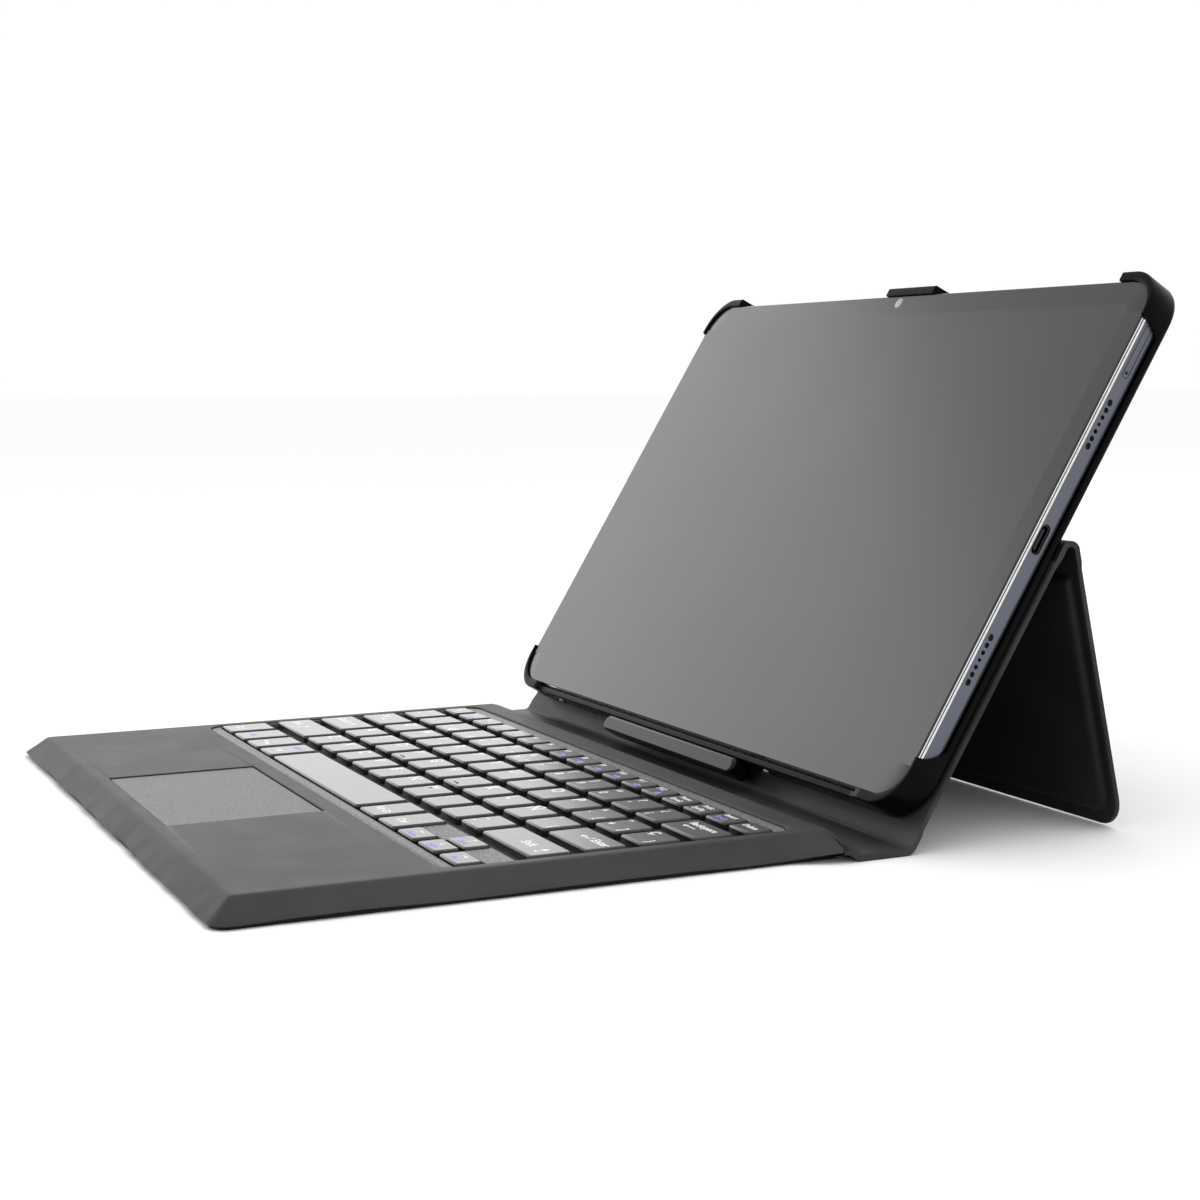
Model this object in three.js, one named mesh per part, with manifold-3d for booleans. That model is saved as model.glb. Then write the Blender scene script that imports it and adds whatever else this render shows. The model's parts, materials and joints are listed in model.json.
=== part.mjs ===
// Tablet keyboard case, opened on its stand, with the tablet it holds. Millimetres, +Z up.
// X runs along the keyboard, +Y points to the back. The origin is the middle of the footprint, on the table.
import * as THREE from 'three';
import { mergeVertices } from 'three/addons/utils/BufferGeometryUtils.js';
import Module from 'manifold-3d';

const wasm = await Module();
wasm.setup();

// ---------------------------------------------------------------- driving dimensions
const TOP_HALF = 120.5; // half width of the keyboard base's flat top
const TOP_DEPTH = 163.6; // depth of that top, from y = 0
const BASE_HEIGHT = 6.8;
const CHAMFER = 6.8; // how far the sloped edge runs out
const EDGE_Z = 1.9; // height of the sloped edge's foot, on the bottom cover
const WALL = 1.6;
const FOOT_CORNER = 5; // corner radius of the slope's foot, and of its top
const TOP_CORNER = 1.4;
const CLEAR = 0.3; // room round each part that sits in an opening
const THROUGH = 9; // height of a cutter that passes through the whole base

const RECESS_HALF = 116.2;
const RECESS_FRONT = 54.8;
const RECESS_BACK = 156;
const RECESS_CORNER = 5;
const PAD_HALF = 37.4; // touchpad window
const PAD_FRONT = 4;
const PAD_BACK = 49.3;
const PAD_TOP = 6.45;

const BLOCK_HALF = 114.8; // half width of the block of keys
const PITCH = 16.07;
const KEY_GAP = 3;
const KEY_WIDTH = PITCH - KEY_GAP;
const ROW_PITCH = 15.8;
const KEY_DEPTH = 12.2;
const SPACE_FRONT = 59.3;
const SPACE_DEPTH = 15.8;
const Z_ROW_FRONT = 79.3;
const F_ROW_FRONT = 142.6;
const F_KEY_DEPTH = 8.2;
const F_KEY_WIDTH = 11.1;
const ARROW_DEPTH = 7.4;
const KEY_TOP = 6.95;
const CAP_TAPER = 0.45; // how far a cap's top is drawn in
const WEB_LOW = 3.1; // underside of what each key hangs on, below the plate
const WEB_HIGH = 3.5;
const WEB_HALF = 2.5; // half depth of the web that joins a bank of caps
const FLANGE = 0.45; // how far a single key's flange reaches past its cap
const WINDOW = 0.25; // clearance between a cap and its window in the deck
const DECK_LOW = 3.8;
const DECK_HIGH = 4.6;
const PLATE_TOP = 6.3;

// Pieces that lie hidden in the base.
const MEMBRANE = { half: 113, front: 57, back: 153 };
const BATTERY = { inner: 44, outer: 110, front: 8, back: 46, thick: 2.8 };
const CONTROLLER = { half: 34, front: 12, back: 42, thick: 1 };
const MAGNET = { inner: 113, outer: 118, front: 12, back: 40, thick: 2 };

const LEATHER_HALF = 132;
const LEATHER = 1.7; // thickness of the spine's leather
const PANEL = 3.1; // thickness of the back panel and the stand
const SPINE_FRONT = 164.6; // fold between the base and the spine
const SPINE_BACK = 183.8; // fold between the spine and the back panel

const LEAN = THREE.MathUtils.degToRad(31.35); // screen's lean from upright
const GLASS_FOOT = { y: 179.2, z: 14.5 }; // lower edge of the glass
const TABLET_HALF = 130.35;
const TABLET_HEIGHT = 165;
const TABLET_THICK = 7.5;
const TABLET_CORNER = 11;
const TRAY_WALL = 2.1;
const TRAY_BACK = 9.5; // depth of the tray's back face behind the glass
const LIP = 0.7; // how far the clips stand in front of the glass

const PANEL_FACE = 13.1; // depth of the back panel's outer face behind the glass
const STAND_PIVOT = { y: 84, z: -(PANEL_FACE + 0.15) };
const STAND_START = 3;
const STAND_LENGTH = 81.3;

// ---------------------------------------------------------------- materials
const finish = (color, roughness, metalness = 0) =>
  new THREE.MeshStandardMaterial({ color, roughness, metalness });
const leather = finish(0x2b2c2e, 0.62);
const lining = finish(0x161617, 0.9);
const shellPlastic = finish(0x0e0f10, 0.4);
const keyPlastic = finish(0x1b1c1d, 0.5);
const platePlastic = finish(0x222426, 0.6);
const padPlastic = finish(0x3a3b3d, 0.55);
const boardGreen = finish(0x21402e, 0.6);
const boardGrey = finish(0x6b675f, 0.9);
const cellSilver = finish(0x9a9ca0, 0.45, 0.3);
const steel = finish(0xb9a29a, 0.3, 1);
const anodised = finish(0x555a68, 0.35, 0.9);
const glassBlack = finish(0x1a1b1c, 0.08);

// ---------------------------------------------------------------- shape helpers
// A rectangle's corners cut round, counter-clockwise, with the same point count for any size.
function roundedRing(x0, y0, x1, y1, radius, steps = 4) {
  const centres = [[x1 - radius, y0 + radius, -0.5], [x1 - radius, y1 - radius, 0],
    [x0 + radius, y1 - radius, 0.5], [x0 + radius, y0 + radius, 1]];
  return centres.flatMap(([x, y, turn]) => Array.from({ length: steps + 1 }, (_, i) => {
    const angle = (turn + (0.5 * i) / steps) * Math.PI;
    return [x + radius * Math.cos(angle), y + radius * Math.sin(angle)];
  }));
}

// A closed body through convex rings of equal point count, from the lowest up.
function loft(levels) {
  const count = levels[0].ring.length;
  const position = levels.flatMap(({ ring, z }) => ring.flatMap(([x, y]) => [x, y, z]));
  const index = [];
  for (let level = 0; level + 1 < levels.length; level += 1) {
    for (let i = 0; i < count; i += 1) {
      const a = level * count + i;
      const b = level * count + ((i + 1) % count);
      index.push(a, b, b + count, a, b + count, a + count);
    }
  }
  const top = (levels.length - 1) * count;
  for (let i = 1; i + 1 < count; i += 1) {
    index.push(0, i + 1, i, top, top + i, top + i + 1);
  }
  const geometry = new THREE.BufferGeometry();
  geometry.setAttribute('position', new THREE.Float32BufferAttribute(position, 3));
  geometry.setIndex(index);
  return geometry;
}

const slab = (x0, y0, x1, y1, radius, z0, z1, steps = 4) => {
  const ring = roundedRing(x0, y0, x1, y1, radius, steps);
  return loft([{ ring, z: z0 }, { ring, z: z1 }]);
};

function block(x0, y0, z0, x1, y1, z1) {
  const geometry = new THREE.BoxGeometry(x1 - x0, y1 - y0, z1 - z0);
  return geometry.translate((x0 + x1) / 2, (y0 + y1) / 2, (z0 + z1) / 2);
}

// A round bar along Z, about its own middle.
const roundBar = (radius, length, sides) =>
  new THREE.CylinderGeometry(radius, radius, length, sides).rotateX(Math.PI / 2);

// An outline in Y and Z, drawn out along X.
function prism(points, x0, x1) {
  const shape = new THREE.Shape(points.map(([y, z]) => new THREE.Vector2(y, z)));
  const geometry = new THREE.ExtrudeGeometry(shape, { depth: x1 - x0, bevelEnabled: false });
  const turn = new THREE.Matrix4().makeBasis(
    new THREE.Vector3(0, 1, 0), new THREE.Vector3(0, 0, 1), new THREE.Vector3(1, 0, 0));
  return geometry.applyMatrix4(turn).translate(x0, 0, 0);
}

// ---------------------------------------------------------------- joining and cutting
function solid(geometry) {
  const bare = geometry.clone();
  bare.deleteAttribute('normal');
  bare.deleteAttribute('uv');
  const merged = mergeVertices(bare, 1e-4);
  const mesh = new wasm.Mesh({
    numProp: 3,
    vertProperties: merged.attributes.position.array,
    triVerts: new Uint32Array(merged.index.array),
  });
  return new wasm.Manifold(mesh);
}

function geometryOf(manifold) {
  const { numProp, vertProperties, triVerts } = manifold.getMesh();
  const position = new Float32Array((vertProperties.length / numProp) * 3);
  for (let i = 0; i < position.length / 3; i += 1) {
    position.set(vertProperties.slice(i * numProp, i * numProp + 3), i * 3);
  }
  const geometry = new THREE.BufferGeometry();
  geometry.setAttribute('position', new THREE.BufferAttribute(position, 3));
  geometry.setIndex(new THREE.BufferAttribute(triVerts, 1));
  return geometry;
}

const join = (first, ...rest) =>
  geometryOf(rest.reduce((whole, piece) => whole.add(solid(piece)), solid(first)));
const cut = (first, ...rest) =>
  geometryOf(rest.reduce((whole, piece) => whole.subtract(solid(piece)), solid(first)));

function put(group, name, geometry, material) {
  const mesh = new THREE.Mesh(geometry, material);
  mesh.name = name;
  group.add(mesh);
  return mesh;
}

// ---------------------------------------------------------------- keyboard base
const OUT_HALF = TOP_HALF + CHAMFER;
const PORTS = { front: 116, back: 150, inner: -118.8, high: 5.4 }; // left edge's port block

function topFrame() {
  const foot = roundedRing(-OUT_HALF, -CHAMFER, OUT_HALF, TOP_DEPTH, FOOT_CORNER);
  const top = roundedRing(-TOP_HALF, 0, TOP_HALF, TOP_DEPTH, TOP_CORNER);
  const outer = loft([{ ring: foot, z: EDGE_Z }, { ring: top, z: BASE_HEIGHT }]);
  const low = WALL + 1.2; // how far the cavity stays inside the slope, at its foot and at its top
  const high = 0.6;
  const back = TOP_DEPTH - WALL;
  const cavityFoot = roundedRing(-OUT_HALF + low, -CHAMFER + low, OUT_HALF - low, back, FOOT_CORNER - 2);
  const cavityTop = roundedRing(-TOP_HALF + high, high, TOP_HALF - high, back, TOP_CORNER - 0.2);
  const cavity = loft([{ ring: cavityFoot, z: EDGE_Z - 1 }, { ring: cavityFoot, z: EDGE_Z },
    { ring: cavityTop, z: BASE_HEIGHT - WALL }]);
  const keys = slab(-RECESS_HALF, RECESS_FRONT, RECESS_HALF, RECESS_BACK, RECESS_CORNER, 0, THROUGH);
  const pad = slab(-PAD_HALF, PAD_FRONT, PAD_HALF, PAD_BACK, 1, 0, THROUGH, 2);
  const ports = block(-OUT_HALF - 5, PORTS.front, EDGE_Z - 1, PORTS.inner, PORTS.back, PORTS.high);
  return cut(outer, cavity, keys, pad, ports);
}

function bottomCover() {
  const ring = (inset, back) =>
    roundedRing(-OUT_HALF + inset, -CHAMFER + inset, OUT_HALF - inset, TOP_DEPTH - back, FOOT_CORNER - inset);
  const low = ring(1.6, 0.6);
  const high = ring(0.5, 0.1);
  return loft([{ ring: low, z: 0 }, { ring: high, z: EDGE_Z / 2 }, { ring: high, z: EDGE_Z - 0.1 }]);
}

// ---------------------------------------------------------------- keys
const rowFront = (row) => Z_ROW_FRONT + (row - 1) * ROW_PITCH;

// The keys of one row from x, all of one width, as [name, left edge, right edge] runs.
function run(x, count, pitch = PITCH, width = KEY_WIDTH) {
  return Array.from({ length: count }, (_, i) => [x + i * pitch, x + i * pitch + width]);
}

const LEFT = -BLOCK_HALF;
const RIGHT = BLOCK_HALF;
const ENTER = 25;
const RIGHT_SHIFT = 33.2;
const F_PITCH = (2 * BLOCK_HALF - F_KEY_WIDTH) / 16;
const ARROW_LEFT = RIGHT - 3 * PITCH + KEY_GAP;
const SPACE_LEFT = LEFT + 4 * PITCH;
const SPACE_RIGHT = RIGHT - 5 * PITCH;
const NUMBER_END = LEFT + 13 * PITCH - KEY_GAP;
const Q_LEFT = RIGHT - 13 * PITCH + KEY_GAP;
const A_LEFT = RIGHT - ENTER - 11 * PITCH;
const Z_LEFT = RIGHT - RIGHT_SHIFT - 10 * PITCH;

// Each entry: node name, front edge, depth and the caps that move as one.
const KEY_NODES = [
  ['escape_key', F_ROW_FRONT, F_KEY_DEPTH, run(LEFT, 1, F_PITCH, F_KEY_WIDTH)],
  ['function_keys_left', F_ROW_FRONT, F_KEY_DEPTH, run(LEFT + F_PITCH, 8, F_PITCH, F_KEY_WIDTH)],
  ['function_keys_right', F_ROW_FRONT, F_KEY_DEPTH, run(LEFT + 9 * F_PITCH, 8, F_PITCH, F_KEY_WIDTH)],
  ['number_keys_left', rowFront(4), KEY_DEPTH, run(LEFT, 7)],
  ['number_keys_right', rowFront(4), KEY_DEPTH, run(LEFT + 7 * PITCH, 6)],
  ['backspace_key', rowFront(4), KEY_DEPTH, [[NUMBER_END + KEY_GAP, RIGHT]]],
  ['tab_key', rowFront(3), KEY_DEPTH, [[LEFT, Q_LEFT - KEY_GAP]]],
  ['upper_letter_keys_left', rowFront(3), KEY_DEPTH, run(Q_LEFT, 6)],
  ['upper_letter_keys_right', rowFront(3), KEY_DEPTH, run(Q_LEFT + 6 * PITCH, 7)],
  ['caps_lock_key', rowFront(2), KEY_DEPTH, [[LEFT, A_LEFT - KEY_GAP]]],
  ['middle_letter_keys_left', rowFront(2), KEY_DEPTH, run(A_LEFT, 6)],
  ['middle_letter_keys_right', rowFront(2), KEY_DEPTH, run(A_LEFT + 6 * PITCH, 5)],
  ['enter_key', rowFront(2), KEY_DEPTH, [[RIGHT - ENTER, RIGHT]]],
  ['left_shift_key', rowFront(1), KEY_DEPTH, [[LEFT, Z_LEFT - KEY_GAP]]],
  ['lower_letter_keys_left', rowFront(1), KEY_DEPTH, run(Z_LEFT, 5)],
  ['lower_letter_keys_right', rowFront(1), KEY_DEPTH, run(Z_LEFT + 5 * PITCH, 5)],
  ['right_shift_key', rowFront(1), KEY_DEPTH, [[RIGHT - RIGHT_SHIFT, RIGHT]]],
  ['control_key', SPACE_FRONT, SPACE_DEPTH, run(LEFT, 1)],
  ['modifier_keys_left', SPACE_FRONT, SPACE_DEPTH, run(LEFT + PITCH, 3)],
  ['space_bar', SPACE_FRONT, SPACE_DEPTH, [[SPACE_LEFT, SPACE_RIGHT]]],
  ['modifier_keys_right', SPACE_FRONT, SPACE_DEPTH, run(SPACE_RIGHT + KEY_GAP, 2)],
  ['arrow_left_key', SPACE_FRONT, ARROW_DEPTH, run(ARROW_LEFT, 1)],
  ['arrow_down_key', SPACE_FRONT, ARROW_DEPTH, run(ARROW_LEFT + PITCH, 1)],
  ['arrow_right_key', SPACE_FRONT, ARROW_DEPTH, run(ARROW_LEFT + 2 * PITCH, 1)],
  ['arrow_up_key', SPACE_FRONT + SPACE_DEPTH - ARROW_DEPTH, ARROW_DEPTH, run(ARROW_LEFT + PITCH, 1)],
];

// A cap with cut corners and a narrower top.
function cap(left, right, front, depth) {
  const ring = (inset) =>
    roundedRing(left + inset, front + inset, right - inset, front + depth - inset, 0.7, 1);
  return loft([
    { ring: ring(0), z: WEB_HIGH - 0.2 },
    { ring: ring(0), z: KEY_TOP - 0.7 },
    { ring: ring(CAP_TAPER), z: KEY_TOP },
  ]);
}

// A single key hangs on a flange wider than its window, and a bank of keys on one shared web.
function keyNode([, front, depth, caps]) {
  const left = caps[0][0];
  const right = caps[caps.length - 1][1];
  const single = caps.length === 1;
  const middle = front + depth / 2;
  const web = single
    ? block(left - FLANGE, front - FLANGE, WEB_LOW, right + FLANGE, front + depth + FLANGE, WEB_HIGH)
    : block(left + 1, middle - WEB_HALF, WEB_LOW, right - 1, middle + WEB_HALF, WEB_HIGH);
  return join(web, ...caps.map(([a, b]) => cap(a, b, front, depth)));
}

const WELL_MARGIN = 0.6; // room between the keys and the sunk well that they stand in

// The thin deck under the keys, with a window for each cap and the two blank islands beside the up arrow.
function keyboardDeck() {
  const tuck = 1.6; // how far the deck reaches under the leather
  const half = RECESS_HALF + tuck;
  const sheet = block(-half, RECESS_FRONT - tuck, DECK_LOW, half, RECESS_BACK + tuck, DECK_HIGH);
  const blankFront = SPACE_FRONT + ARROW_DEPTH + WELL_MARGIN;
  const blankBack = SPACE_FRONT + SPACE_DEPTH + WELL_MARGIN - CLEAR;
  const blank = (x0, x1) => block(x0, blankFront, DECK_LOW, x1, blankBack, PLATE_TOP);
  const upLeft = ARROW_LEFT + PITCH;
  const islands = [
    blank(ARROW_LEFT - KEY_GAP + WELL_MARGIN, upLeft - WELL_MARGIN),
    blank(upLeft + KEY_WIDTH + WELL_MARGIN, BLOCK_HALF + WELL_MARGIN - CLEAR),
  ];
  const windows = KEY_NODES.flatMap(([, front, depth, caps]) => caps.map(([x0, x1]) =>
    block(x0 - WINDOW, front - WINDOW, 0, x1 + WINDOW, front + depth + WINDOW, DECK_HIGH + 0.2)));
  return cut(join(sheet, ...islands), ...windows);
}

// The plate that frames the keys, nearly level with the leather.
function keyboardPlate() {
  const rim = slab(-RECESS_HALF + CLEAR, RECESS_FRONT + CLEAR, RECESS_HALF - CLEAR, RECESS_BACK - CLEAR,
    RECESS_CORNER - CLEAR, DECK_HIGH + 0.1, PLATE_TOP);
  const wellHalf = BLOCK_HALF + WELL_MARGIN;
  const wellBack = F_ROW_FRONT + F_KEY_DEPTH + WELL_MARGIN;
  const well = block(-wellHalf, SPACE_FRONT - WELL_MARGIN, 0, wellHalf, wellBack, THROUGH);
  return cut(rim, well);
}

// ---------------------------------------------------------------- touchpad, ports and inner pieces
function touchpad() {
  const half = PAD_HALF - CLEAR;
  const flangeHigh = 4.8; // the flange under the leather keeps the pad in
  const flange = block(-PAD_HALF - 2, PAD_FRONT - 1.6, 4.1, PAD_HALF + 2, PAD_BACK + 2, flangeHigh);
  const face = slab(-half, PAD_FRONT + CLEAR, half, PAD_BACK - CLEAR, 0.8, flangeHigh - 0.2, PAD_TOP, 2);
  return join(face, flange);
}

const PORT_MID = (PORTS.front + PORTS.back) / 2;
const SWITCH_Y = PORT_MID + 9;
const CHARGE_Y = PORT_MID - 7;

function portBlock() {
  const outside = -OUT_HALF + 1.4;
  const body = block(outside, PORTS.front + CLEAR, EDGE_Z + 0.1, PORTS.inner - 0.1, PORTS.back - CLEAR,
    PORTS.high - CLEAR);
  const socket = block(outside - 1, CHARGE_Y - 4.8, 2.1, outside + 7, CHARGE_Y + 4.8, 4.9);
  const slot = block(outside - 1, SWITCH_Y - 4, 2.5, outside + 4, SWITCH_Y + 4, 4.5);
  return cut(body, socket, slot);
}

function chargeSocket() {
  const outside = -OUT_HALF + 1.6;
  const shell = block(outside, CHARGE_Y - 4.5, 2.3, outside + 6.2, CHARGE_Y + 4.5, 4.7);
  const mouth = block(outside - 1, CHARGE_Y - 4.1, 2.65, outside + 5.6, CHARGE_Y + 4.1, 4.35);
  const tongue = block(outside + 1, CHARGE_Y - 3, 3.3, outside + 6, CHARGE_Y + 3, 3.75);
  return join(cut(shell, mouth), tongue);
}

function powerSwitch() {
  const outside = -OUT_HALF + 1.4;
  const foot = block(outside + 1.2, SWITCH_Y - 2.4, 2.8, outside + 3.4, SWITCH_Y + 2.4, 4.2);
  const thumb = block(outside - 0.4, SWITCH_Y - 1.6, 2.9, outside + 1.4, SWITCH_Y + 1.6, 4.1);
  return join(foot, thumb);
}

function baseGroup() {
  const base = new THREE.Group();
  put(base, 'base_top_frame', topFrame(), leather);
  put(base, 'base_bottom_cover', bottomCover(), lining);
  put(base, 'keyboard_deck', keyboardDeck(), platePlastic);
  put(base, 'keyboard_plate', keyboardPlate(), platePlastic);
  const floor = EDGE_Z;
  const membrane = block(-MEMBRANE.half, MEMBRANE.front, floor - 0.05, MEMBRANE.half, MEMBRANE.back,
    floor + 0.15);
  put(base, 'membrane_sheet', membrane, boardGreen);
  const controller = block(-CONTROLLER.half, CONTROLLER.front, floor, CONTROLLER.half, CONTROLLER.back,
    floor + CONTROLLER.thick);
  put(base, 'controller_board', controller, boardGreen);
  for (const [side, sign] of [['left', -1], ['right', 1]]) {
    const [cell0, cell1] = [sign * BATTERY.inner, sign * BATTERY.outer].sort((a, b) => a - b);
    const cell = slab(cell0, BATTERY.front, cell1, BATTERY.back, 1, floor, floor + BATTERY.thick, 1);
    put(base, `battery_${side}`, cell, cellSilver);
    const [magnet0, magnet1] = [sign * MAGNET.inner, sign * MAGNET.outer].sort((a, b) => a - b);
    const magnet = block(magnet0, MAGNET.front, floor, magnet1, MAGNET.back, floor + MAGNET.thick);
    put(base, `magnet_${side}`, magnet, steel);
  }
  put(base, 'port_block', portBlock(), shellPlastic);
  put(base, 'charge_socket', chargeSocket(), steel);
  put(base, 'power_switch', powerSwitch(), keyPlastic);
  put(base, 'touchpad', touchpad(), padPlastic);
  for (const entry of KEY_NODES) {
    put(base, entry[0], keyNode(entry), keyPlastic);
  }
  return base;
}

// ---------------------------------------------------------------- tray, in its own frame: z = 0 on the glass
const SIDE_CLEAR = 0.15; // the tray fits closer at the tablet's short sides, where its wall is thin too
const SIDE_WALL = 0.8;
const LIP_CLEAR = 0.1; // between the glass and the clips' lips
const TRAY_HALF = TABLET_HALF + SIDE_CLEAR + SIDE_WALL;
const TRAY_LOW = -CLEAR - TRAY_WALL;
const TRAY_HIGH = TABLET_HEIGHT + CLEAR + TRAY_WALL;
const SIDE_RIM = -6.9; // how high the tray's rim stands where the sides are open
const FOOT_RIM = -0.7; // the same along the lower edge
const PANEL_LOW = -7.4; // the back panel's lower and upper edge
const PANEL_HIGH = STAND_PIVOT.y - STAND_START;
const CAMERA = { x: -112, y: 143, halfWidth: 9, halfHeight: 15 }; // window for the rear camera
const RIVETS = [-95, 57];
const TOP_CLIP = { left: -9, right: 18 }; // the clip on the upper edge stands a little off the middle
const CORNER_CLIPS = { top: 113, foot: 111 }; // where the corner clips start
const USB_Y = 83;
const SIM_Y = 143;
const SPEAKER_LOW = 45.5;
const SPEAKER_HIGH = 119.5;
const CAMERA_DOT_Y = 161.6;
// A grille's holes: the place along the edge from its middle, and each hole's length.
const SPEAKER_HOLES = [[-7, 2.4], [-4.4, 1.6], [-2.1, 1.3], [0, 1], [2.1, 1.3], [4.4, 1.6], [7, 2.4]];

// A gap in the tray's wall between two clips. It widens from the rim to the front, so the clips' ends slope.
function sideGap(sign) {
  const points = [[19, SIDE_RIM], [149, SIDE_RIM], [152.6, 3], [13.8, 3]];
  return prism(points, sign > 0 ? 120 : -140, sign > 0 ? 140 : -120);
}

function endGap(x0, x1, y0, y1, rim, slope) {
  const low = roundedRing(x0 + slope, y0, x1 - slope, y1, 0.1, 1);
  const high = roundedRing(x0, y0, x1, y1, 0.1, 1);
  return loft([{ ring: low, z: rim }, { ring: high, z: 3 }]);
}

// The rounded window for the rear camera, grown all round, about a height y.
function cameraWindow(grow, y, z0, z1) {
  const { x, halfWidth, halfHeight } = CAMERA;
  const w = halfWidth + grow;
  const h = halfHeight + grow;
  return slab(x - w, y - h, x + w, y + h, 5, z0, z1);
}

function trayShell() {
  const corner = TABLET_CORNER + TRAY_WALL;
  const ring = (inset) => roundedRing(-TRAY_HALF + inset, TRAY_LOW + inset, TRAY_HALF - inset,
    TRAY_HIGH - inset, corner - inset);
  const outer = loft([{ ring: ring(1.2), z: -TRAY_BACK }, { ring: ring(0), z: -TRAY_BACK + 1.4 },
    { ring: ring(0), z: LIP - 0.5 }, { ring: ring(0.6), z: LIP }]);
  const roomHalf = TABLET_HALF + SIDE_CLEAR;
  const room = slab(-roomHalf, -CLEAR, roomHalf, TABLET_HEIGHT + CLEAR,
    TABLET_CORNER + SIDE_CLEAR, -TABLET_THICK - CLEAR, LIP_CLEAR, 6);
  const mouth = slab(-TABLET_HALF + 1, 1, TABLET_HALF - 1, TABLET_HEIGHT - 1, TABLET_CORNER - 1, 0, 3);
  const low = TRAY_LOW - 2;
  const high = TRAY_HIGH + 2;
  const gaps = [
    sideGap(1),
    sideGap(-1),
    endGap(-CORNER_CLIPS.top, TOP_CLIP.left, TABLET_HEIGHT - 2, high, SIDE_RIM, 4),
    endGap(TOP_CLIP.right, CORNER_CLIPS.top, TABLET_HEIGHT - 2, high, SIDE_RIM, 4),
    endGap(-CORNER_CLIPS.foot, CORNER_CLIPS.foot, low, 2, FOOT_RIM, 3),
  ];
  return cut(outer, room, mouth, ...gaps, cameraWindow(0, CAMERA.y, -TRAY_BACK - 2, -5));
}

function dockingBar() {
  const half = 44.5;
  const step = 1; // each end narrows in two steps of this length
  const middle = { y: -5.4, z: -2.4 };
  const head = [[-8, -5.2], [-7.2, -6], [-3.5, -6], [-2.7, -5.2],
    [-2.7, 0.3], [-3.6, 1.2], [-7, 1.2], [-8, 0.2]];
  const foot = [[-7, -9.7], [-4.8, -9.7], [-4.8, -5], [-7, -5]];
  const shrunk = (inset) => head.map(([y, z]) => [
    y + (y > middle.y ? -inset : inset), z + (z > middle.z ? -inset : inset)]);
  const tips = [1, -1].flatMap((sign) => [[0.3, half], [0.8, half + step]].map(([inset, start]) => {
    const x0 = sign > 0 ? start : -start - step;
    return prism(shrunk(inset), x0, x0 + step);
  }));
  return join(prism(head, -half, half), prism(foot, -half + 8, half - 8), ...tips);
}

function tabletHousing() {
  const ring = (inset) => roundedRing(-TABLET_HALF + inset, inset, TABLET_HALF - inset, TABLET_HEIGHT - inset,
    TABLET_CORNER - inset, 6);
  const body = loft([{ ring: ring(1.7), z: -TABLET_THICK }, { ring: ring(0.5), z: -TABLET_THICK + 0.9 },
    { ring: ring(0), z: -TABLET_THICK + 2.1 }, { ring: ring(0), z: -1 }, { ring: ring(0.45), z: -0.6 }]);
  const usb = block(TABLET_HALF - 7, USB_Y - 4.6, -5, TABLET_HALF + 1, USB_Y + 4.6, -1.8);
  const sim = block(TABLET_HALF - 1.3, SIM_Y - 8.4, -4.9, TABLET_HALF + 1, SIM_Y + 8.4, -2.5);
  const eye = roundBar(2.3, 3, 16).translate(0, CAMERA_DOT_Y, -0.6);
  const holes = [SPEAKER_LOW, SPEAKER_HIGH].flatMap((y) => SPEAKER_HOLES.map(([along, long]) =>
    block(TABLET_HALF - 1.5, y + along - long / 2, -3.9, TABLET_HALF + 1, y + along + long / 2, -2.7)));
  return cut(body, usb, sim, eye, ...holes);
}

function usbPort() {
  const out = TABLET_HALF - 0.3;
  const shell = block(out - 6, USB_Y - 4.3, -4.7, out, USB_Y + 4.3, -2.1);
  const mouth = block(out - 5.4, USB_Y - 3.95, -4.35, out + 1, USB_Y + 3.95, -2.45);
  const tongue = block(out - 5.6, USB_Y - 3, -3.65, out - 0.8, USB_Y + 3, -3.15);
  return join(cut(shell, mouth), tongue);
}

function simTray() {
  const out = TABLET_HALF - 0.02;
  const face = block(out - 1, SIM_Y - 8.1, -4.6, out, SIM_Y + 8.1, -2.8);
  const pin = new THREE.CylinderGeometry(0.45, 0.45, 4, 10).rotateZ(Math.PI / 2)
    .translate(out, SIM_Y - 6.9, -3.7);
  return cut(face, pin);
}

function rivet(x) {
  const outline = [[0, 0], [1.2, 0], [1.2, 0.25], [0.85, 0.6], [0, 0.75]];
  const dome = new THREE.LatheGeometry(outline.map(([r, h]) => new THREE.Vector2(r, h)), 14);
  return dome.rotateX(Math.PI).translate(x, TRAY_LOW - 0.1, -4);
}

function rearCamera() {
  const { x, y, halfWidth, halfHeight } = CAMERA;
  const w = halfWidth - 1.6;
  const h = halfHeight - 1.6;
  const plate = slab(x - w, y - h, x + w, y + h, 4, -TABLET_THICK - 1.5, -TABLET_THICK - 0.2, 3);
  const lens = (dy) => roundBar(4, 1, 20).translate(x, y + dy, -TABLET_THICK - 1.6);
  return cut(plate, lens(-6), lens(6));
}

const BORDER = 6; // width of the leather round a panel's board
const EDGE_ROLL = 0.5;
const POCKET = 1.5; // depth of the pocket that the board lies in

// A panel with a pocket on its inner side for a board, and a window for the camera where it has one.
function panel(y0, y1, z0, corners, window) {
  const z1 = z0 + PANEL;
  const ring = (inset) => roundedRing(-LEATHER_HALF + inset, y0 + inset, LEATHER_HALF - inset, y1 - inset,
    corners - inset);
  const body = loft([{ ring: ring(EDGE_ROLL), z: z0 }, { ring: ring(0), z: z0 + EDGE_ROLL },
    { ring: ring(0), z: z1 - EDGE_ROLL }, { ring: ring(EDGE_ROLL), z: z1 }]);
  const half = LEATHER_HALF - BORDER;
  const pocket = slab(-half, y0 + BORDER, half, y1 - BORDER, 3, z1 - POCKET, z1 + 1, 2);
  return window ? cut(body, pocket, window(z0 - 1, z1 + 1)) : cut(body, pocket);
}

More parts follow.
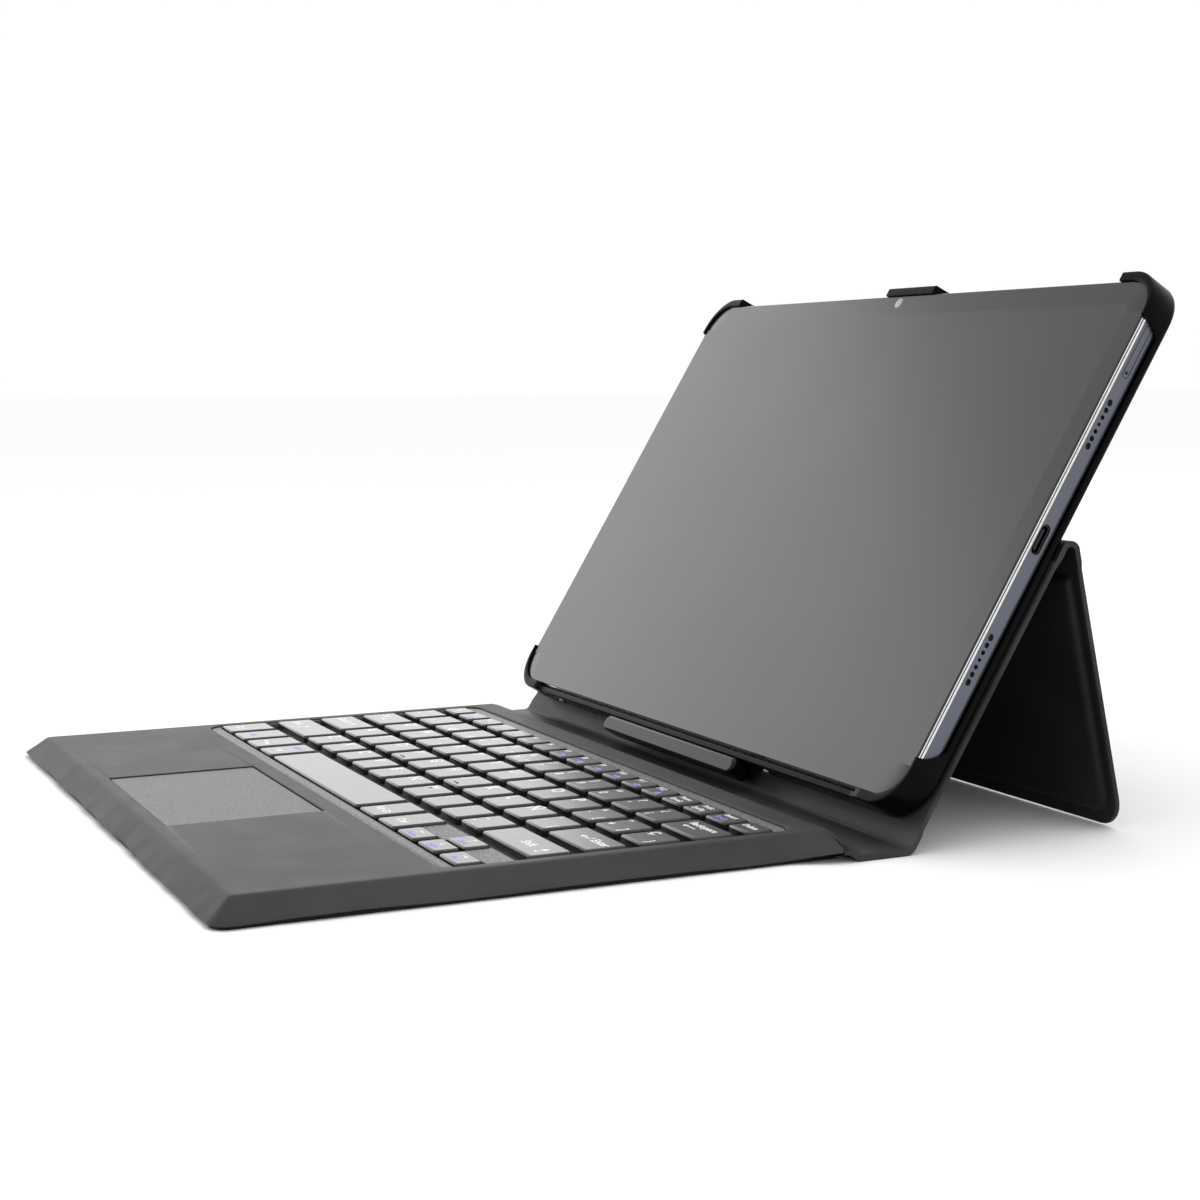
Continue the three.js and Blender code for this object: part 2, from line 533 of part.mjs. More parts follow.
function panelBoard(y0, y1, z0, window) {
  const z1 = z0 + PANEL;
  const inset = BORDER + 0.4;
  const half = LEATHER_HALF - inset;
  const board = slab(-half, y0 + inset, half, y1 - inset, 2.6, z1 - POCKET + 0.2, z1 - 0.1, 2);
  return window ? cut(board, window(z0 - 1, z1 + 1)) : board;
}

function standGroup() {
  const stand = new THREE.Group();
  stand.position.set(0, STAND_PIVOT.y, STAND_PIVOT.z);
  const face = 0.15;
  const y = CAMERA.y - STAND_PIVOT.y;
  const window = (grow) => (z0, z1) => cameraWindow(grow, y, z0, z1);
  put(stand, 'stand_panel', panel(STAND_START, STAND_LENGTH, face, 9, window(1)), leather);
  put(stand, 'stand_board', panelBoard(STAND_START, STAND_LENGTH, face, window(2)), boardGrey);
  return stand;
}

function trayGroup() {
  const tray = new THREE.Group();
  tray.position.set(0, GLASS_FOOT.y, GLASS_FOOT.z);
  tray.rotation.x = Math.PI / 2 - LEAN;
  put(tray, 'tray_shell', trayShell(), shellPlastic);
  put(tray, 'docking_bar', dockingBar(), shellPlastic);
  put(tray, 'rivet_left', rivet(RIVETS[0]), steel);
  put(tray, 'rivet_right', rivet(RIVETS[1]), steel);
  put(tray, 'back_panel', panel(PANEL_LOW, PANEL_HIGH, -PANEL_FACE, 2), leather);
  put(tray, 'back_board', panelBoard(PANEL_LOW, PANEL_HIGH, -PANEL_FACE), boardGrey);
  put(tray, 'tablet_housing', tabletHousing(), anodised);
  const rim = 0.6; // the glass stops this far inside the housing's outline
  const glassHalf = TABLET_HALF - rim;
  const glass = slab(-glassHalf, rim, glassHalf, TABLET_HEIGHT - rim, TABLET_CORNER - rim, -0.45, 0, 6);
  put(tray, 'tablet_glass', glass, glassBlack);
  put(tray, 'tablet_usb_port', usbPort(), steel);
  put(tray, 'tablet_sim_tray', simTray(), anodised);
  put(tray, 'tablet_front_camera', roundBar(1.9, 1, 16).translate(0, CAMERA_DOT_Y, -1.2), glassBlack);
  put(tray, 'tablet_rear_camera', rearCamera(), anodised);
  tray.add(standGroup());
  return tray;
}

// ---------------------------------------------------------------- the whole case
const model = new THREE.Group();
model.add(baseGroup());
const spine = slab(-LEATHER_HALF, SPINE_FRONT + 0.6, LEATHER_HALF, SPINE_BACK - 1.2, 0.5, 0, LEATHER, 1);
put(model, 'spine_panel', spine, leather);
model.add(trayGroup());

const pivotHeight = GLASS_FOOT.z + STAND_PIVOT.y * Math.cos(LEAN) + STAND_PIVOT.z * Math.sin(LEAN);
const standSlope = Math.asin(pivotHeight / STAND_LENGTH);
const stand = model.getObjectByName('stand_panel').parent;
stand.rotation.x = -(Math.PI / 2 - LEAN) - standSlope;

model.updateMatrixWorld(true);
const bounds = new THREE.Box3().setFromObject(model, true);
model.position.set(0, -(bounds.min.y + bounds.max.y) / 2, -bounds.min.z);

export default model;
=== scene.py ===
"""Looks of a tablet keyboard case, open on its stand: its camera, light, materials and visible pieces.

The pieces stand for the plain CAD bodies. Lengths are millimetres in the frame of the base, the tray
or the stand, and a frame's matrix takes them to metres in the row frame."""
import json
import math

import bpy
from mathutils import Matrix, Vector, noise
from mathutils.geometry import tessellate_polygon


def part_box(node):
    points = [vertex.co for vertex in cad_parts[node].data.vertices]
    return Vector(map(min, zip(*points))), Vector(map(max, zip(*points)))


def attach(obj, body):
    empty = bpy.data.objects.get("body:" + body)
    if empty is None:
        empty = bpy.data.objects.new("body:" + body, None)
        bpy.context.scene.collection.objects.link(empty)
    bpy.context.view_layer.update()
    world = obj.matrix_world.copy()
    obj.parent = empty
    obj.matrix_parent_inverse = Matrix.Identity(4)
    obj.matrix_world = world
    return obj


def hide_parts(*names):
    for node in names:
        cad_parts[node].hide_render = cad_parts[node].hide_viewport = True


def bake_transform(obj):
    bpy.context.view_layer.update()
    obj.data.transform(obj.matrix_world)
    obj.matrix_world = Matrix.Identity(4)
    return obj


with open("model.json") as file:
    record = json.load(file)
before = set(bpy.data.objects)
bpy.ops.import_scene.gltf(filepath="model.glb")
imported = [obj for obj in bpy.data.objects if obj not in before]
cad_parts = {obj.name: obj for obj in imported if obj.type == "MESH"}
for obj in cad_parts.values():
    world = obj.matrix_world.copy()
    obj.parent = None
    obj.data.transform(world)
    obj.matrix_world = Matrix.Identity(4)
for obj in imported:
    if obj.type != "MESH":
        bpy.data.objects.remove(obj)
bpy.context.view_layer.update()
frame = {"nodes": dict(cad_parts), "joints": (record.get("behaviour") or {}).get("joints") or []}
MM = 0.001

# ---------------------------------------------------------------- sizes, as in the CAD model
TOP_HALF, TOP_DEPTH, BASE_HEIGHT, CHAMFER = 120.5, 163.6, 6.8, 6.8
OUT_HALF = TOP_HALF + CHAMFER
RECESS = (-116.2, 54.8, 116.2, 156.0)
RECESS_CORNER = 5
PAD = (-37.4, 4.0, 37.4, 49.3)
KEY_LOW, KEY_TOP = 3.3, 6.95
DECK_HIGH, PLATE_TOP = 4.6, 6.3
LEATHER_HALF, LEATHER, PANEL = 132.0, 1.7, 3.1
LEAN = math.radians(31.35)
TABLET_HALF, TABLET_HEIGHT, TABLET_THICK, TABLET_CORNER = 130.35, 165.0, 7.5, 11.0
TRAY_HALF, TRAY_LOW, TRAY_HIGH, TRAY_BACK, TRAY_CORNER = 131.3, -2.4, 167.4, 9.5, 13.1
LIP, SIDE_RIM, FOOT_RIM = 0.7, -6.9, -0.7
PANEL_FACE = 13.1
STAND_START, STAND_LENGTH = 3.0, 81.3
CAMERA_X, CAMERA_Y, CAMERA_HALF_W, CAMERA_HALF_H = -112.0, 143.0, 9.0, 15.0

# ---------------------------------------------------------------- frames
front_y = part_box("base_top_frame")[0].y + CHAMFER * MM
BASE = Matrix.Translation((0, front_y, 0)) @ Matrix.Scale(MM, 4)


def turned(origin, angle):
    """A frame in millimetres at origin, whose Y axis points that angle above the row frame's."""
    return Matrix.Translation(origin) @ Matrix.Rotation(angle, 4, "X") @ Matrix.Scale(MM, 4)


glass_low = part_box("tablet_glass")[0]
GLASS_INSET, GLASS_THICK = 0.6, 0.45
tray_origin = Vector((
    0,
    glass_low.y - GLASS_INSET * MM * math.sin(LEAN),
    glass_low.z - GLASS_INSET * MM * math.cos(LEAN) + GLASS_THICK * MM * math.sin(LEAN)))
TRAY = turned(tray_origin, math.pi / 2 - LEAN)

pivots = {j["name"]: Vector(j["pos_m"]) for j in frame["joints"] if j["type"] == "hinge"}
SLOPE = math.asin(pivots["stand_fold"].z / (STAND_LENGTH * MM))
STAND = turned(pivots["stand_fold"], -SLOPE)


# ---------------------------------------------------------------- camera, floor and light
def make_camera():
    """The camera stands low on the right, placed from the middle of the base's front edge."""
    azimuth, elevation, roll = (math.radians(degrees) for degrees in (65.13, 6.21, -0.22))
    back = Vector((math.sin(azimuth) * math.cos(elevation),
                   -math.cos(azimuth) * math.cos(elevation),
                   math.sin(elevation)))
    right = (-back).cross(Vector((0, 0, 1))).normalized()
    up = right.cross(-back)
    rolled_right = right * math.cos(roll) + up * math.sin(roll)
    rolled_up = up * math.cos(roll) - right * math.sin(roll)
    data = bpy.data.cameras.new("camera")
    data.sensor_width = 36
    data.lens = 62.06
    data.clip_start = 0.01
    data.clip_end = 60
    camera = bpy.data.objects.new("camera", data)
    bpy.context.scene.collection.objects.link(camera)
    camera.matrix_world = Matrix((rolled_right, rolled_up, back)).transposed().to_4x4()
    camera.location = BASE @ Vector((592.0, -121.8, 128.96))
    bpy.context.scene.camera = camera


def area_light(name, place, target, width, height, power, color=(1, 1, 1)):
    data = bpy.data.lights.new(name, "AREA")
    data.shape = "RECTANGLE"
    data.size, data.size_y, data.energy, data.color = width, height, power, color
    light = bpy.data.objects.new(name, data)
    bpy.context.scene.collection.objects.link(light)
    light.location = place
    light.rotation_mode = "QUATERNION"
    light.rotation_quaternion = (Vector(place) - Vector(target)).to_track_quat("Z", "Y")
    return light


def make_studio():
    scene = bpy.context.scene
    scene.view_settings.view_transform = "Standard"
    world = bpy.data.worlds.new("studio")
    world.use_nodes = True
    background = world.node_tree.nodes["Background"]
    background.inputs["Color"].default_value = (1, 0.985, 0.99, 1)
    background.inputs["Strength"].default_value = 1.02
    scene.world = world
    area_light("left_softbox", (-1.7, 0.05, 0.56), (0, 0.05, 0.5), 2.7, 1.1, 11)
    area_light("top_softbox", (0.1, 0.3, 1.7), (0, 0, 0), 1.4, 1.4, 6)
    floor = grid_plane("floor", 12.0, 24)
    floor.data.materials.append(floor_material())


def grid_plane(name, half, cells):
    steps = [half * (2 * i / cells - 1) for i in range(cells + 1)]
    verts = [(x, y, 0) for y in steps for x in steps]
    row = cells + 1
    faces = [(j * row + i, j * row + i + 1, (j + 1) * row + i + 1, (j + 1) * row + i)
             for j in range(cells) for i in range(cells)]
    return mesh_object(name, verts, faces, Matrix.Identity(4))


# ---------------------------------------------------------------- meshes
FLAT_AREA = 60e-6  # a face larger than this, in square metres, is a flat one


def mesh_object(name, verts, faces, place, materials=(), slots=None, sharp=None):
    """A mesh from points in one of the frames. slots gives each face's material, and edges sharper than
    sharp degrees are kept."""
    mesh = bpy.data.meshes.new(name)
    mesh.from_pydata([place @ Vector(v) for v in verts], [], faces)
    for material in materials:
        mesh.materials.append(material)
    if slots is not None:
        mesh.polygons.foreach_set("material_index", slots)
    mesh.validate()
    obj = bpy.data.objects.new(name, mesh)
    bpy.context.scene.collection.objects.link(obj)
    if sharp is not None:
        round_off(obj, sharp)
    return obj


def round_off(obj, sharp=40):
    """Smooth shading across edges less sharp than an angle, and flat shading of large faces."""
    mesh = obj.data
    mesh.shade_smooth()
    mesh.set_sharp_from_angle(angle=math.radians(sharp))
    for face in mesh.polygons:
        if face.area > FLAT_AREA:
            face.use_smooth = False


def show(obj, body, slot, *replaced):
    """obj rides on body and stands for the CAD nodes named. slot is not used."""
    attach(obj, body)
    if replaced:
        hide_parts(*replaced)
    return obj


def rounded_ring(x0, y0, x1, y1, radius, steps=8, cuts=(1, 1)):
    """A rectangle with round corners, counter-clockwise from its lower right.

    radius may be one number for each corner: lower right, upper right, upper left, lower left. cuts says
    in how many pieces its straight edges are, along X and along Y."""
    radii = [radius] * 4 if isinstance(radius, (int, float)) else radius
    corners = [(x1, y0, -1, 1, -0.5), (x1, y1, -1, -1, 0), (x0, y1, 1, -1, 0.5), (x0, y0, 1, 1, 1)]
    arcs = []
    for (x, y, sx, sy, turn), r in zip(corners, radii):
        angles = [(turn + 0.5 * i / steps) * math.pi for i in range(steps + 1)]
        arcs.append([(x + sx * r + r * math.cos(a), y + sy * r + r * math.sin(a)) for a in angles])
    ring = []
    for arc, following, pieces in zip(arcs, arcs[1:] + arcs[:1], [cuts[1], cuts[0]] * 2):
        ring += arc
        (ax, ay), (bx, by) = arc[-1], following[0]
        ring += [(ax + (bx - ax) * i / pieces, ay + (by - ay) * i / pieces)
                 for i in range(1, pieces)]
    return ring


def stack(rings, cap_first=True, cap_last=True):
    """Faces between rings of equal point count, given as lists of (x, y, z), from the lowest up."""
    count = len(rings[0])
    verts = [p for ring in rings for p in ring]
    faces = []
    for k in range(len(rings) - 1):
        for i in range(count):
            j = (i + 1) % count
            faces.append((k * count + i, k * count + j, (k + 1) * count + j, (k + 1) * count + i))
    if cap_first:
        faces.append(tuple(reversed(range(count))))
    if cap_last:
        faces.append(tuple(range((len(rings) - 1) * count, len(rings) * count)))
    return verts, faces


def at_height(ring, z):
    return [(x, y, z) for x, y in ring]


def inset_ring(box, radius, inset, z, steps=8, cuts=(1, 1), least=0.3):
    x0, y0, x1, y1 = box
    radii = [radius] * 4 if isinstance(radius, (int, float)) else radius
    kept = [max(r - inset, least) for r in radii]
    ring = rounded_ring(x0 + inset, y0 + inset, x1 - inset, y1 - inset, kept, steps, cuts)
    return at_height(ring, z)


def soft_slab(box, radius, z0, z1, edge, steps=6, taper=0.0, round_low=True, bend=4):
    """A slab with round corners and rolled edges. taper draws its top in."""
    arc = [0.5 * math.pi * i / bend for i in range(bend + 1)]
    levels = [(0, z0)]
    if round_low:
        levels = [(edge * (1 - math.sin(a)), z0 + edge * (1 - math.cos(a))) for a in arc]
    levels += [(taper + edge * (1 - math.cos(a)), z1 - edge * (1 - math.sin(a))) for a in arc]
    return stack([inset_ring(box, radius, inset, z, steps) for inset, z in levels])


def merged(parts):
    """Several (verts, faces) as one."""
    verts, faces = [], []
    for more_verts, more_faces in parts:
        start = len(verts)
        verts += more_verts
        faces += [tuple(start + i for i in f) for f in more_faces]
    return verts, faces


def cut(obj, *cutters):
    """Cuts closed meshes, given as (verts, faces, frame), out of obj."""
    for number, (verts, faces, place) in enumerate(cutters):
        tool = mesh_object(f"{obj.name}_tool_{number}", verts, faces, place)
        change = obj.modifiers.new("cut", "BOOLEAN")
        change.operation, change.solver, change.object = "DIFFERENCE", "EXACT", tool
    done = bpy.data.meshes.new_from_object(obj.evaluated_get(bpy.context.evaluated_depsgraph_get()))
    tools = [m.object for m in obj.modifiers]
    obj.modifiers.clear()
    old = obj.data
    obj.data = done
    bpy.data.meshes.remove(old)
    for tool in tools:
        bpy.data.objects.remove(tool)
    return obj


def smooth(t):
    t = min(1.0, max(0.0, t))
    return t * t * (3 - 2 * t)


# ---------------------------------------------------------------- materials
def node_material(name, color, roughness, metallic=0.0, specular=0.5, **sockets):
    """A Principled material. A number that is the same all over is set on the shader's own socket."""
    made = bpy.data.materials.new(name)
    made.use_nodes = True
    shader = made.node_tree.nodes["Principled BSDF"]
    shader.inputs["Base Color"].default_value = (*color, 1)
    shader.inputs["Roughness"].default_value = roughness
    shader.inputs["Metallic"].default_value = metallic
    shader.inputs["Specular IOR Level"].default_value = specular
    for key, value in sockets.items():
        shader.inputs[key.replace("_", " ")].default_value = value
    return made


def texture(made, kind, scale, detail=2.0, stretch=None):
    """A noise or Voronoi texture in object space, with scale in repeats a metre."""
    nodes, links = made.node_tree.nodes, made.node_tree.links
    place = nodes.new("ShaderNodeTexCoord")
    source = place.outputs["Object"]
    if stretch:
        mapping = nodes.new("ShaderNodeMapping")
        mapping.inputs["Scale"].default_value = stretch
        links.new(source, mapping.inputs["Vector"])
        source = mapping.outputs["Vector"]
    node = nodes.new(kind)
    node.inputs["Scale"].default_value = scale
    if kind == "ShaderNodeTexNoise":
        node.inputs["Detail"].default_value = detail
    links.new(source, node.inputs["Vector"])
    return node.outputs["Fac"] if kind == "ShaderNodeTexNoise" else node.outputs["Distance"]


def grain(made, scale, detail=2.0, stretch=None):
    return texture(made, "ShaderNodeTexNoise", scale, detail, stretch)


def vary_color(made, factor, dark, light, low=0.35, high=0.65):
    nodes, links = made.node_tree.nodes, made.node_tree.links
    ramp = nodes.new("ShaderNodeValToRGB")
    ramp.color_ramp.elements[0].position, ramp.color_ramp.elements[1].position = low, high
    ramp.color_ramp.elements[0].color, ramp.color_ramp.elements[1].color = (*dark, 1), (*light, 1)
    links.new(factor, ramp.inputs["Fac"])
    links.new(ramp.outputs["Color"], nodes["Principled BSDF"].inputs["Base Color"])


def vary_roughness(made, factor, low, high):
    nodes, links = made.node_tree.nodes, made.node_tree.links
    span = nodes.new("ShaderNodeMapRange")
    span.inputs["To Min"].default_value, span.inputs["To Max"].default_value = low, high
    links.new(factor, span.inputs["Value"])
    links.new(span.outputs["Result"], nodes["Principled BSDF"].inputs["Roughness"])


def add_bump(made, factor, strength, depth):
    """Bumps of a depth in millimetres, on top of those that the material already has."""
    nodes, links = made.node_tree.nodes, made.node_tree.links
    normal = nodes["Principled BSDF"].inputs["Normal"]
    bump = nodes.new("ShaderNodeBump")
    bump.inputs["Strength"].default_value = strength
    bump.inputs["Distance"].default_value = depth * MM
    if normal.is_linked:
        links.new(normal.links[0].from_socket, bump.inputs["Normal"])
    links.new(factor, bump.inputs["Height"])
    links.new(bump.outputs["Normal"], normal)


def floor_material():
    made = node_material("floor_paper", (0.96, 0.96, 0.96), 0.9, specular=0.1)
    vary_roughness(made, grain(made, 30), 0.85, 0.95)
    return made


def leather_material(name, dark, light, roughness):
    """Matte embossed polyurethane: a fine pebble, soft mottling and slightly uneven gloss."""
    made = node_material(name, light, roughness, specular=0.2)
    vary_color(made, grain(made, 45, 4), dark, light)
    vary_roughness(made, grain(made, 90, 3), roughness - 0.06, roughness + 0.07)
    add_bump(made, grain(made, 55, 3), 0.35, 0.35)
    add_bump(made, texture(made, "ShaderNodeTexVoronoi", 2200), 0.25, 0.05)
    add_bump(made, grain(made, 5200, 2), 0.2, 0.04)
    return made


def speckled_glint_material(name, dark, light, roughness, scale, depth):
    """Moulded plastic with a spark texture. The bump is its grains, and the light speckles on their peaks
    are painted glints in the colour.
    """
    made = node_material(name, light, roughness, specular=0.5)
    # painted glints: light speckles in the colour, on the same noise as the grains' bump
    vary_color(made, grain(made, scale, 3), dark, light, 0.42, 0.6)
    vary_roughness(made, grain(made, scale * 0.7, 2), roughness - 0.12, roughness + 0.1)
    add_bump(made, grain(made, scale, 3), 0.55, depth)
    return made


def moulded_material(name, color, roughness, scale=1800, depth=0.02, specular=0.5, spread=0.05):
    """Smooth moulded plastic: faint orange peel and patches of slightly different gloss."""
    made = node_material(name, color, roughness, specular=specular)
    lighter = tuple(c * 1.25 for c in color)
    vary_color(made, grain(made, 130, 3), color, lighter)
    vary_roughness(made, grain(made, 220, 3), roughness - spread, roughness + spread)
    add_bump(made, grain(made, scale, 2), 0.2, depth)
    return made


def metal_material(name, color, roughness, scale=6000, depth=0.01, stretch=None):
    made = node_material(name, color, roughness, metallic=1.0)
    darker = tuple(c * 0.88 for c in color)
    vary_color(made, grain(made, scale, 2, stretch), darker, color)
    vary_roughness(made, grain(made, scale * 0.5, 2, stretch), roughness * 0.8,
                   roughness * 1.25)
    add_bump(made, grain(made, scale, 2, stretch), 0.3, depth)
    return made


def glass_material(name, color, roughness):
    """Dark glass over an unlit display. Its reflections come from the lights."""
    made = node_material(name, color, roughness, specular=0.55)
    vary_roughness(made, grain(made, 25, 4), roughness * 0.85, roughness * 1.2)
    add_bump(made, grain(made, 40, 2), 0.02, 0.05)
    return made


LEATHER_TOP = leather_material("leather_top", (0.027, 0.026, 0.0265), (0.0395, 0.0378, 0.0384), 0.52)
# The spine's leather has the top leather's grain, but its colour is lighter: a painted sheen that stands
# for the reflection it shows at a grazing view.
SPINE_LEATHER_PAINTED_SHEEN = leather_material("spine_lining", (0.036, 0.035, 0.036), (0.053, 0.051, 0.052), 0.5)
LEATHER_OUT = leather_material("leather_outside", (0.006, 0.006, 0.0065), (0.010, 0.010, 0.0105), 0.6)
CUT_EDGE = leather_material("leather_cut_edge", (0.022, 0.022, 0.023), (0.05, 0.05, 0.052), 0.85)
SHELL = moulded_material("shell_plastic_black", (0.002, 0.002, 0.0024), 0.28, specular=0.045)
BAR = moulded_material("docking_bar_gloss", (0.003, 0.003, 0.0034), 0.2, specular=0.2)
KEY = moulded_material("keycap_satin", (0.009, 0.009, 0.0095), 0.25, 3000, 0.0005, 0.6, 0.01)
INK = node_material("legend_ink_white", (0.86, 0.87, 0.88), 0.5)
INK_BLUE = node_material("legend_ink_blue", (0.24, 0.28, 0.85), 0.5)
# The plate's and the touchpad's light speckles are painted glints.
PLATE = speckled_glint_material("plate_spark_texture", (0.05, 0.05, 0.051), (0.2, 0.198, 0.203), 0.5,
                          2600, 0.08)
DECK = moulded_material("deck_matte_black", (0.006, 0.006, 0.0065), 0.55)
PADDLE = speckled_glint_material("touchpad_spark_texture", (0.045, 0.045, 0.046), (0.11, 0.11, 0.112), 0.5,
                           2400, 0.06)
ANODISED = metal_material("anodised_slate", (0.145, 0.155, 0.182), 0.42)
DARK_STEEL = metal_material("socket_steel", (0.09, 0.09, 0.095), 0.4)
POLISHED = metal_material("polished_chamfer", (0.86, 0.85, 0.83), 0.12, 900, 0.004)
STEEL = metal_material("plated_steel", (0.62, 0.56, 0.53), 0.28)
SCREEN = glass_material("screen_display", (0.013, 0.0128, 0.0125), 0.24)
BEZEL = glass_material("screen_bezel", (0.004, 0.0045, 0.008), 0.2)
GASKET = moulded_material("gasket_black", (0.004, 0.004, 0.004), 0.5)
BOARD = moulded_material("pressed_board", (0.30, 0.28, 0.25), 0.9, 900, 0.1)
CIRCUIT = moulded_material("solder_mask", (0.02, 0.09, 0.045), 0.45)
CELL = metal_material("foil_pouch", (0.55, 0.56, 0.58), 0.4, 500, 0.1)
CONTACT = metal_material("gold_contact", (0.83, 0.62, 0.30), 0.25)
LENS = glass_material("camera_lens", (0.05, 0.06, 0.09), 0.05)
FRONT_LENS = glass_material("front_camera_lens", (0.32, 0.32, 0.33), 0.3)


make_camera()
make_studio()


# ---------------------------------------------------------------- open meshes closed into bodies
def pierced(outer, holes):
    """A plate with holes. outer rings run from the bottom face's edge up to the top face's, and each hole's
    rings from the top face down to the bottom face."""
    verts, faces = stack(outer, False, False)
    starts = []
    for rings in holes:
        starts.append(len(verts))
        verts, faces = merged([(verts, faces), stack(rings, False, False)])
    count = len(outer[0])

    def face(loops, firsts, upward):
        flat = [[Vector((p[0], p[1], 0)) for p in loop] for loop in loops]
        index = [first + i for loop, first in zip(loops, firsts) for i in range(len(loop))]
        points = [p for loop in flat for p in loop]
        for a, b, c in tessellate_polygon(flat):
            up = (points[b] - points[a]).cross(points[c] - points[a]).z > 0
            corners = (a, b, c) if up == upward else (a, c, b)
            faces.append(tuple(index[i] for i in corners))

    bottoms = [start + len(rings[0]) * (len(rings) - 1) for start, rings in zip(starts, holes)]
    face([outer[-1]] + [rings[0] for rings in holes], [count * (len(outer) - 1)] + starts, True)
    face([outer[0]] + [rings[-1] for rings in holes], [0] + bottoms, False)
    return verts, faces


def sheet_mesh(upper, lower):
    """A thin closed body between two grids of points, given as rows along its length. Its faces' slots are
    0 on the two faces and 1 on the cut edges at its sides."""
    rows, columns = len(upper), len(upper[0])
    verts = [p for row in upper for p in row] + [p for row in lower for p in row]
    under = rows * columns
    faces, slots = [], []

    def add(a, b, c, d, slot):
        faces.append((a, b, c, d))
        slots.append(slot)

    for r in range(rows - 1):
        for c in range(columns - 1):
            a = r * columns + c
            add(a, a + 1, a + columns + 1, a + columns, 0)
            add(under + a, under + a + columns, under + a + columns + 1, under + a + 1, 0)
        left, right = r * columns, r * columns + columns - 1
        add(left, left + columns, under + left + columns, under + left, 1)
        add(right + columns, right, under + right, under + right + columns, 1)
    for c in range(columns - 1):
        last = (rows - 1) * columns + c
        add(c + 1, c, under + c, under + c + 1, 0)
        add(last, last + 1, under + last + 1, under + last, 0)
    return verts, faces, slots


# ---------------------------------------------------------------- the keyboard base
FOOT_Z = 1.1  # the wrapped edge's foot, over the underside leather
FLARE_FROM = 147.0  # where the leather's edge starts to leave the base's side


def wrap_point(x, y, z, share):
    """A point of the wrapped edge. share is 0 on the base's top and 1 at its foot.

    The leather runs a little unevenly there, and near the back its edge flares out and lifts to meet
    the spine's."""
    near_x, near_y = max(-TOP_HALF, min(TOP_HALF, x)), max(0.0, y)
    soft = noise.noise(Vector((near_x * 0.045, near_y * 0.05, 0.3)))
    fold = noise.noise(Vector((near_x * 0.09, near_y * 0.08, 7.1)))
    flare = smooth((y - FLARE_FROM) / (TOP_DEPTH - FLARE_FROM)) * share
    side = math.copysign(1, x)
    if abs(x) > TOP_HALF - 2:
        x -= side * 0.5 * abs(soft) * share
        x += side * flare * (LEATHER_HALF - OUT_HALF)
    if y < 2:
        y += 1.1 * abs(soft) * share
    sag = 0.3 * abs(fold) * math.sin(math.pi * share)
    wave = 0.5 * noise.noise(Vector((near_x * 0.03, near_y * 0.035, 12.4))) * share ** 3
    return x, y, z - sag + max(-0.35, wave) * (1 - flare) + flare * 1.7


def wrap_ring(out, z, back=TOP_DEPTH):
    share = min(1.0, max(0.0, out / CHAMFER))
    corner = max(0.8, 1.4 + 3.6 * out / CHAMFER)
    radii = [corner, 0.5, 0.5, corner]
    ring = rounded_ring(-TOP_HALF - out, -out, TOP_HALF + out, back, radii, 6, (100, 68))
    return [wrap_point(x, y, z, share) for x, y in ring]


def hole_rings(box, corner, bevel, top, bottom):
    """A hole's rings from a rolled rim down."""
    arc = [0.5 * math.pi * i / 4 for i in range(5)]
    rings = [inset_ring(box, corner, -bevel * (1 - math.sin(a)), top - bevel * (1 - math.cos(a)))
             for a in arc]
    return rings + [inset_ring(box, corner, 0, bottom)]


def build_base_wrap():
    slope = [(CHAMFER * (1 - t), FOOT_Z + 0.45 + (BASE_HEIGHT - FOOT_Z - 0.45) * t)
             for t in (0.06, 0.2, 0.35, 0.5, 0.65, 0.78, 0.86)]
    bend = [(0.62, BASE_HEIGHT - 0.48), (0.2, BASE_HEIGHT - 0.24), (-0.3, BASE_HEIGHT - 0.08),
            (-0.9, BASE_HEIGHT - 0.015), (-1.6, BASE_HEIGHT)]
    ceiling = BASE_HEIGHT - 1.6
    inner_back = TOP_DEPTH - 1.4
    outer = [wrap_ring(-1.2, ceiling, inner_back), wrap_ring(3.6, FOOT_Z + 0.15, inner_back)]
    outer += [wrap_ring(out, z) for out, z in
              ((6.2, FOOT_Z + 0.02), (6.65, FOOT_Z + 0.12), (CHAMFER, FOOT_Z + 0.35))]
    outer += [wrap_ring(out, z) for out, z in slope + bend]
    holes = [hole_rings(RECESS, RECESS_CORNER, 0.7, BASE_HEIGHT, ceiling),
             hole_rings(PAD, 1.0, 0.3, BASE_HEIGHT, ceiling)]
    verts, faces = pierced(outer, holes)
    wrap = mesh_object("base_leather_wrap", verts, faces, BASE, [LEATHER_TOP], sharp=50)
    low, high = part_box("port_block")
    to_raw = BASE.inverted()
    low, high = to_raw @ low, to_raw @ high
    gap = (low.x - 5, low.y - 0.3, high.x + 0.1, high.y + 0.3)
    opening = soft_slab(gap, 0.8, 0.5, high.z + 0.3, 0.4)
    cut(wrap, (*opening, BASE))
    round_off(wrap, 50)
    return show(wrap, "base", "leather", "base_top_frame")


def build_base_cover():
    inset = 1.2
    box = (-OUT_HALF + inset, -CHAMFER + inset, OUT_HALF - inset, TOP_DEPTH - 0.1)
    verts, faces = soft_slab(box, [4.2, 1, 1, 4.2], 0, FOOT_Z, 0.5, 8)
    cover = mesh_object("base_underside_leather", verts, faces, BASE, [LEATHER_OUT], sharp=40)
    return show(cover, "base", "lining", "base_bottom_cover")


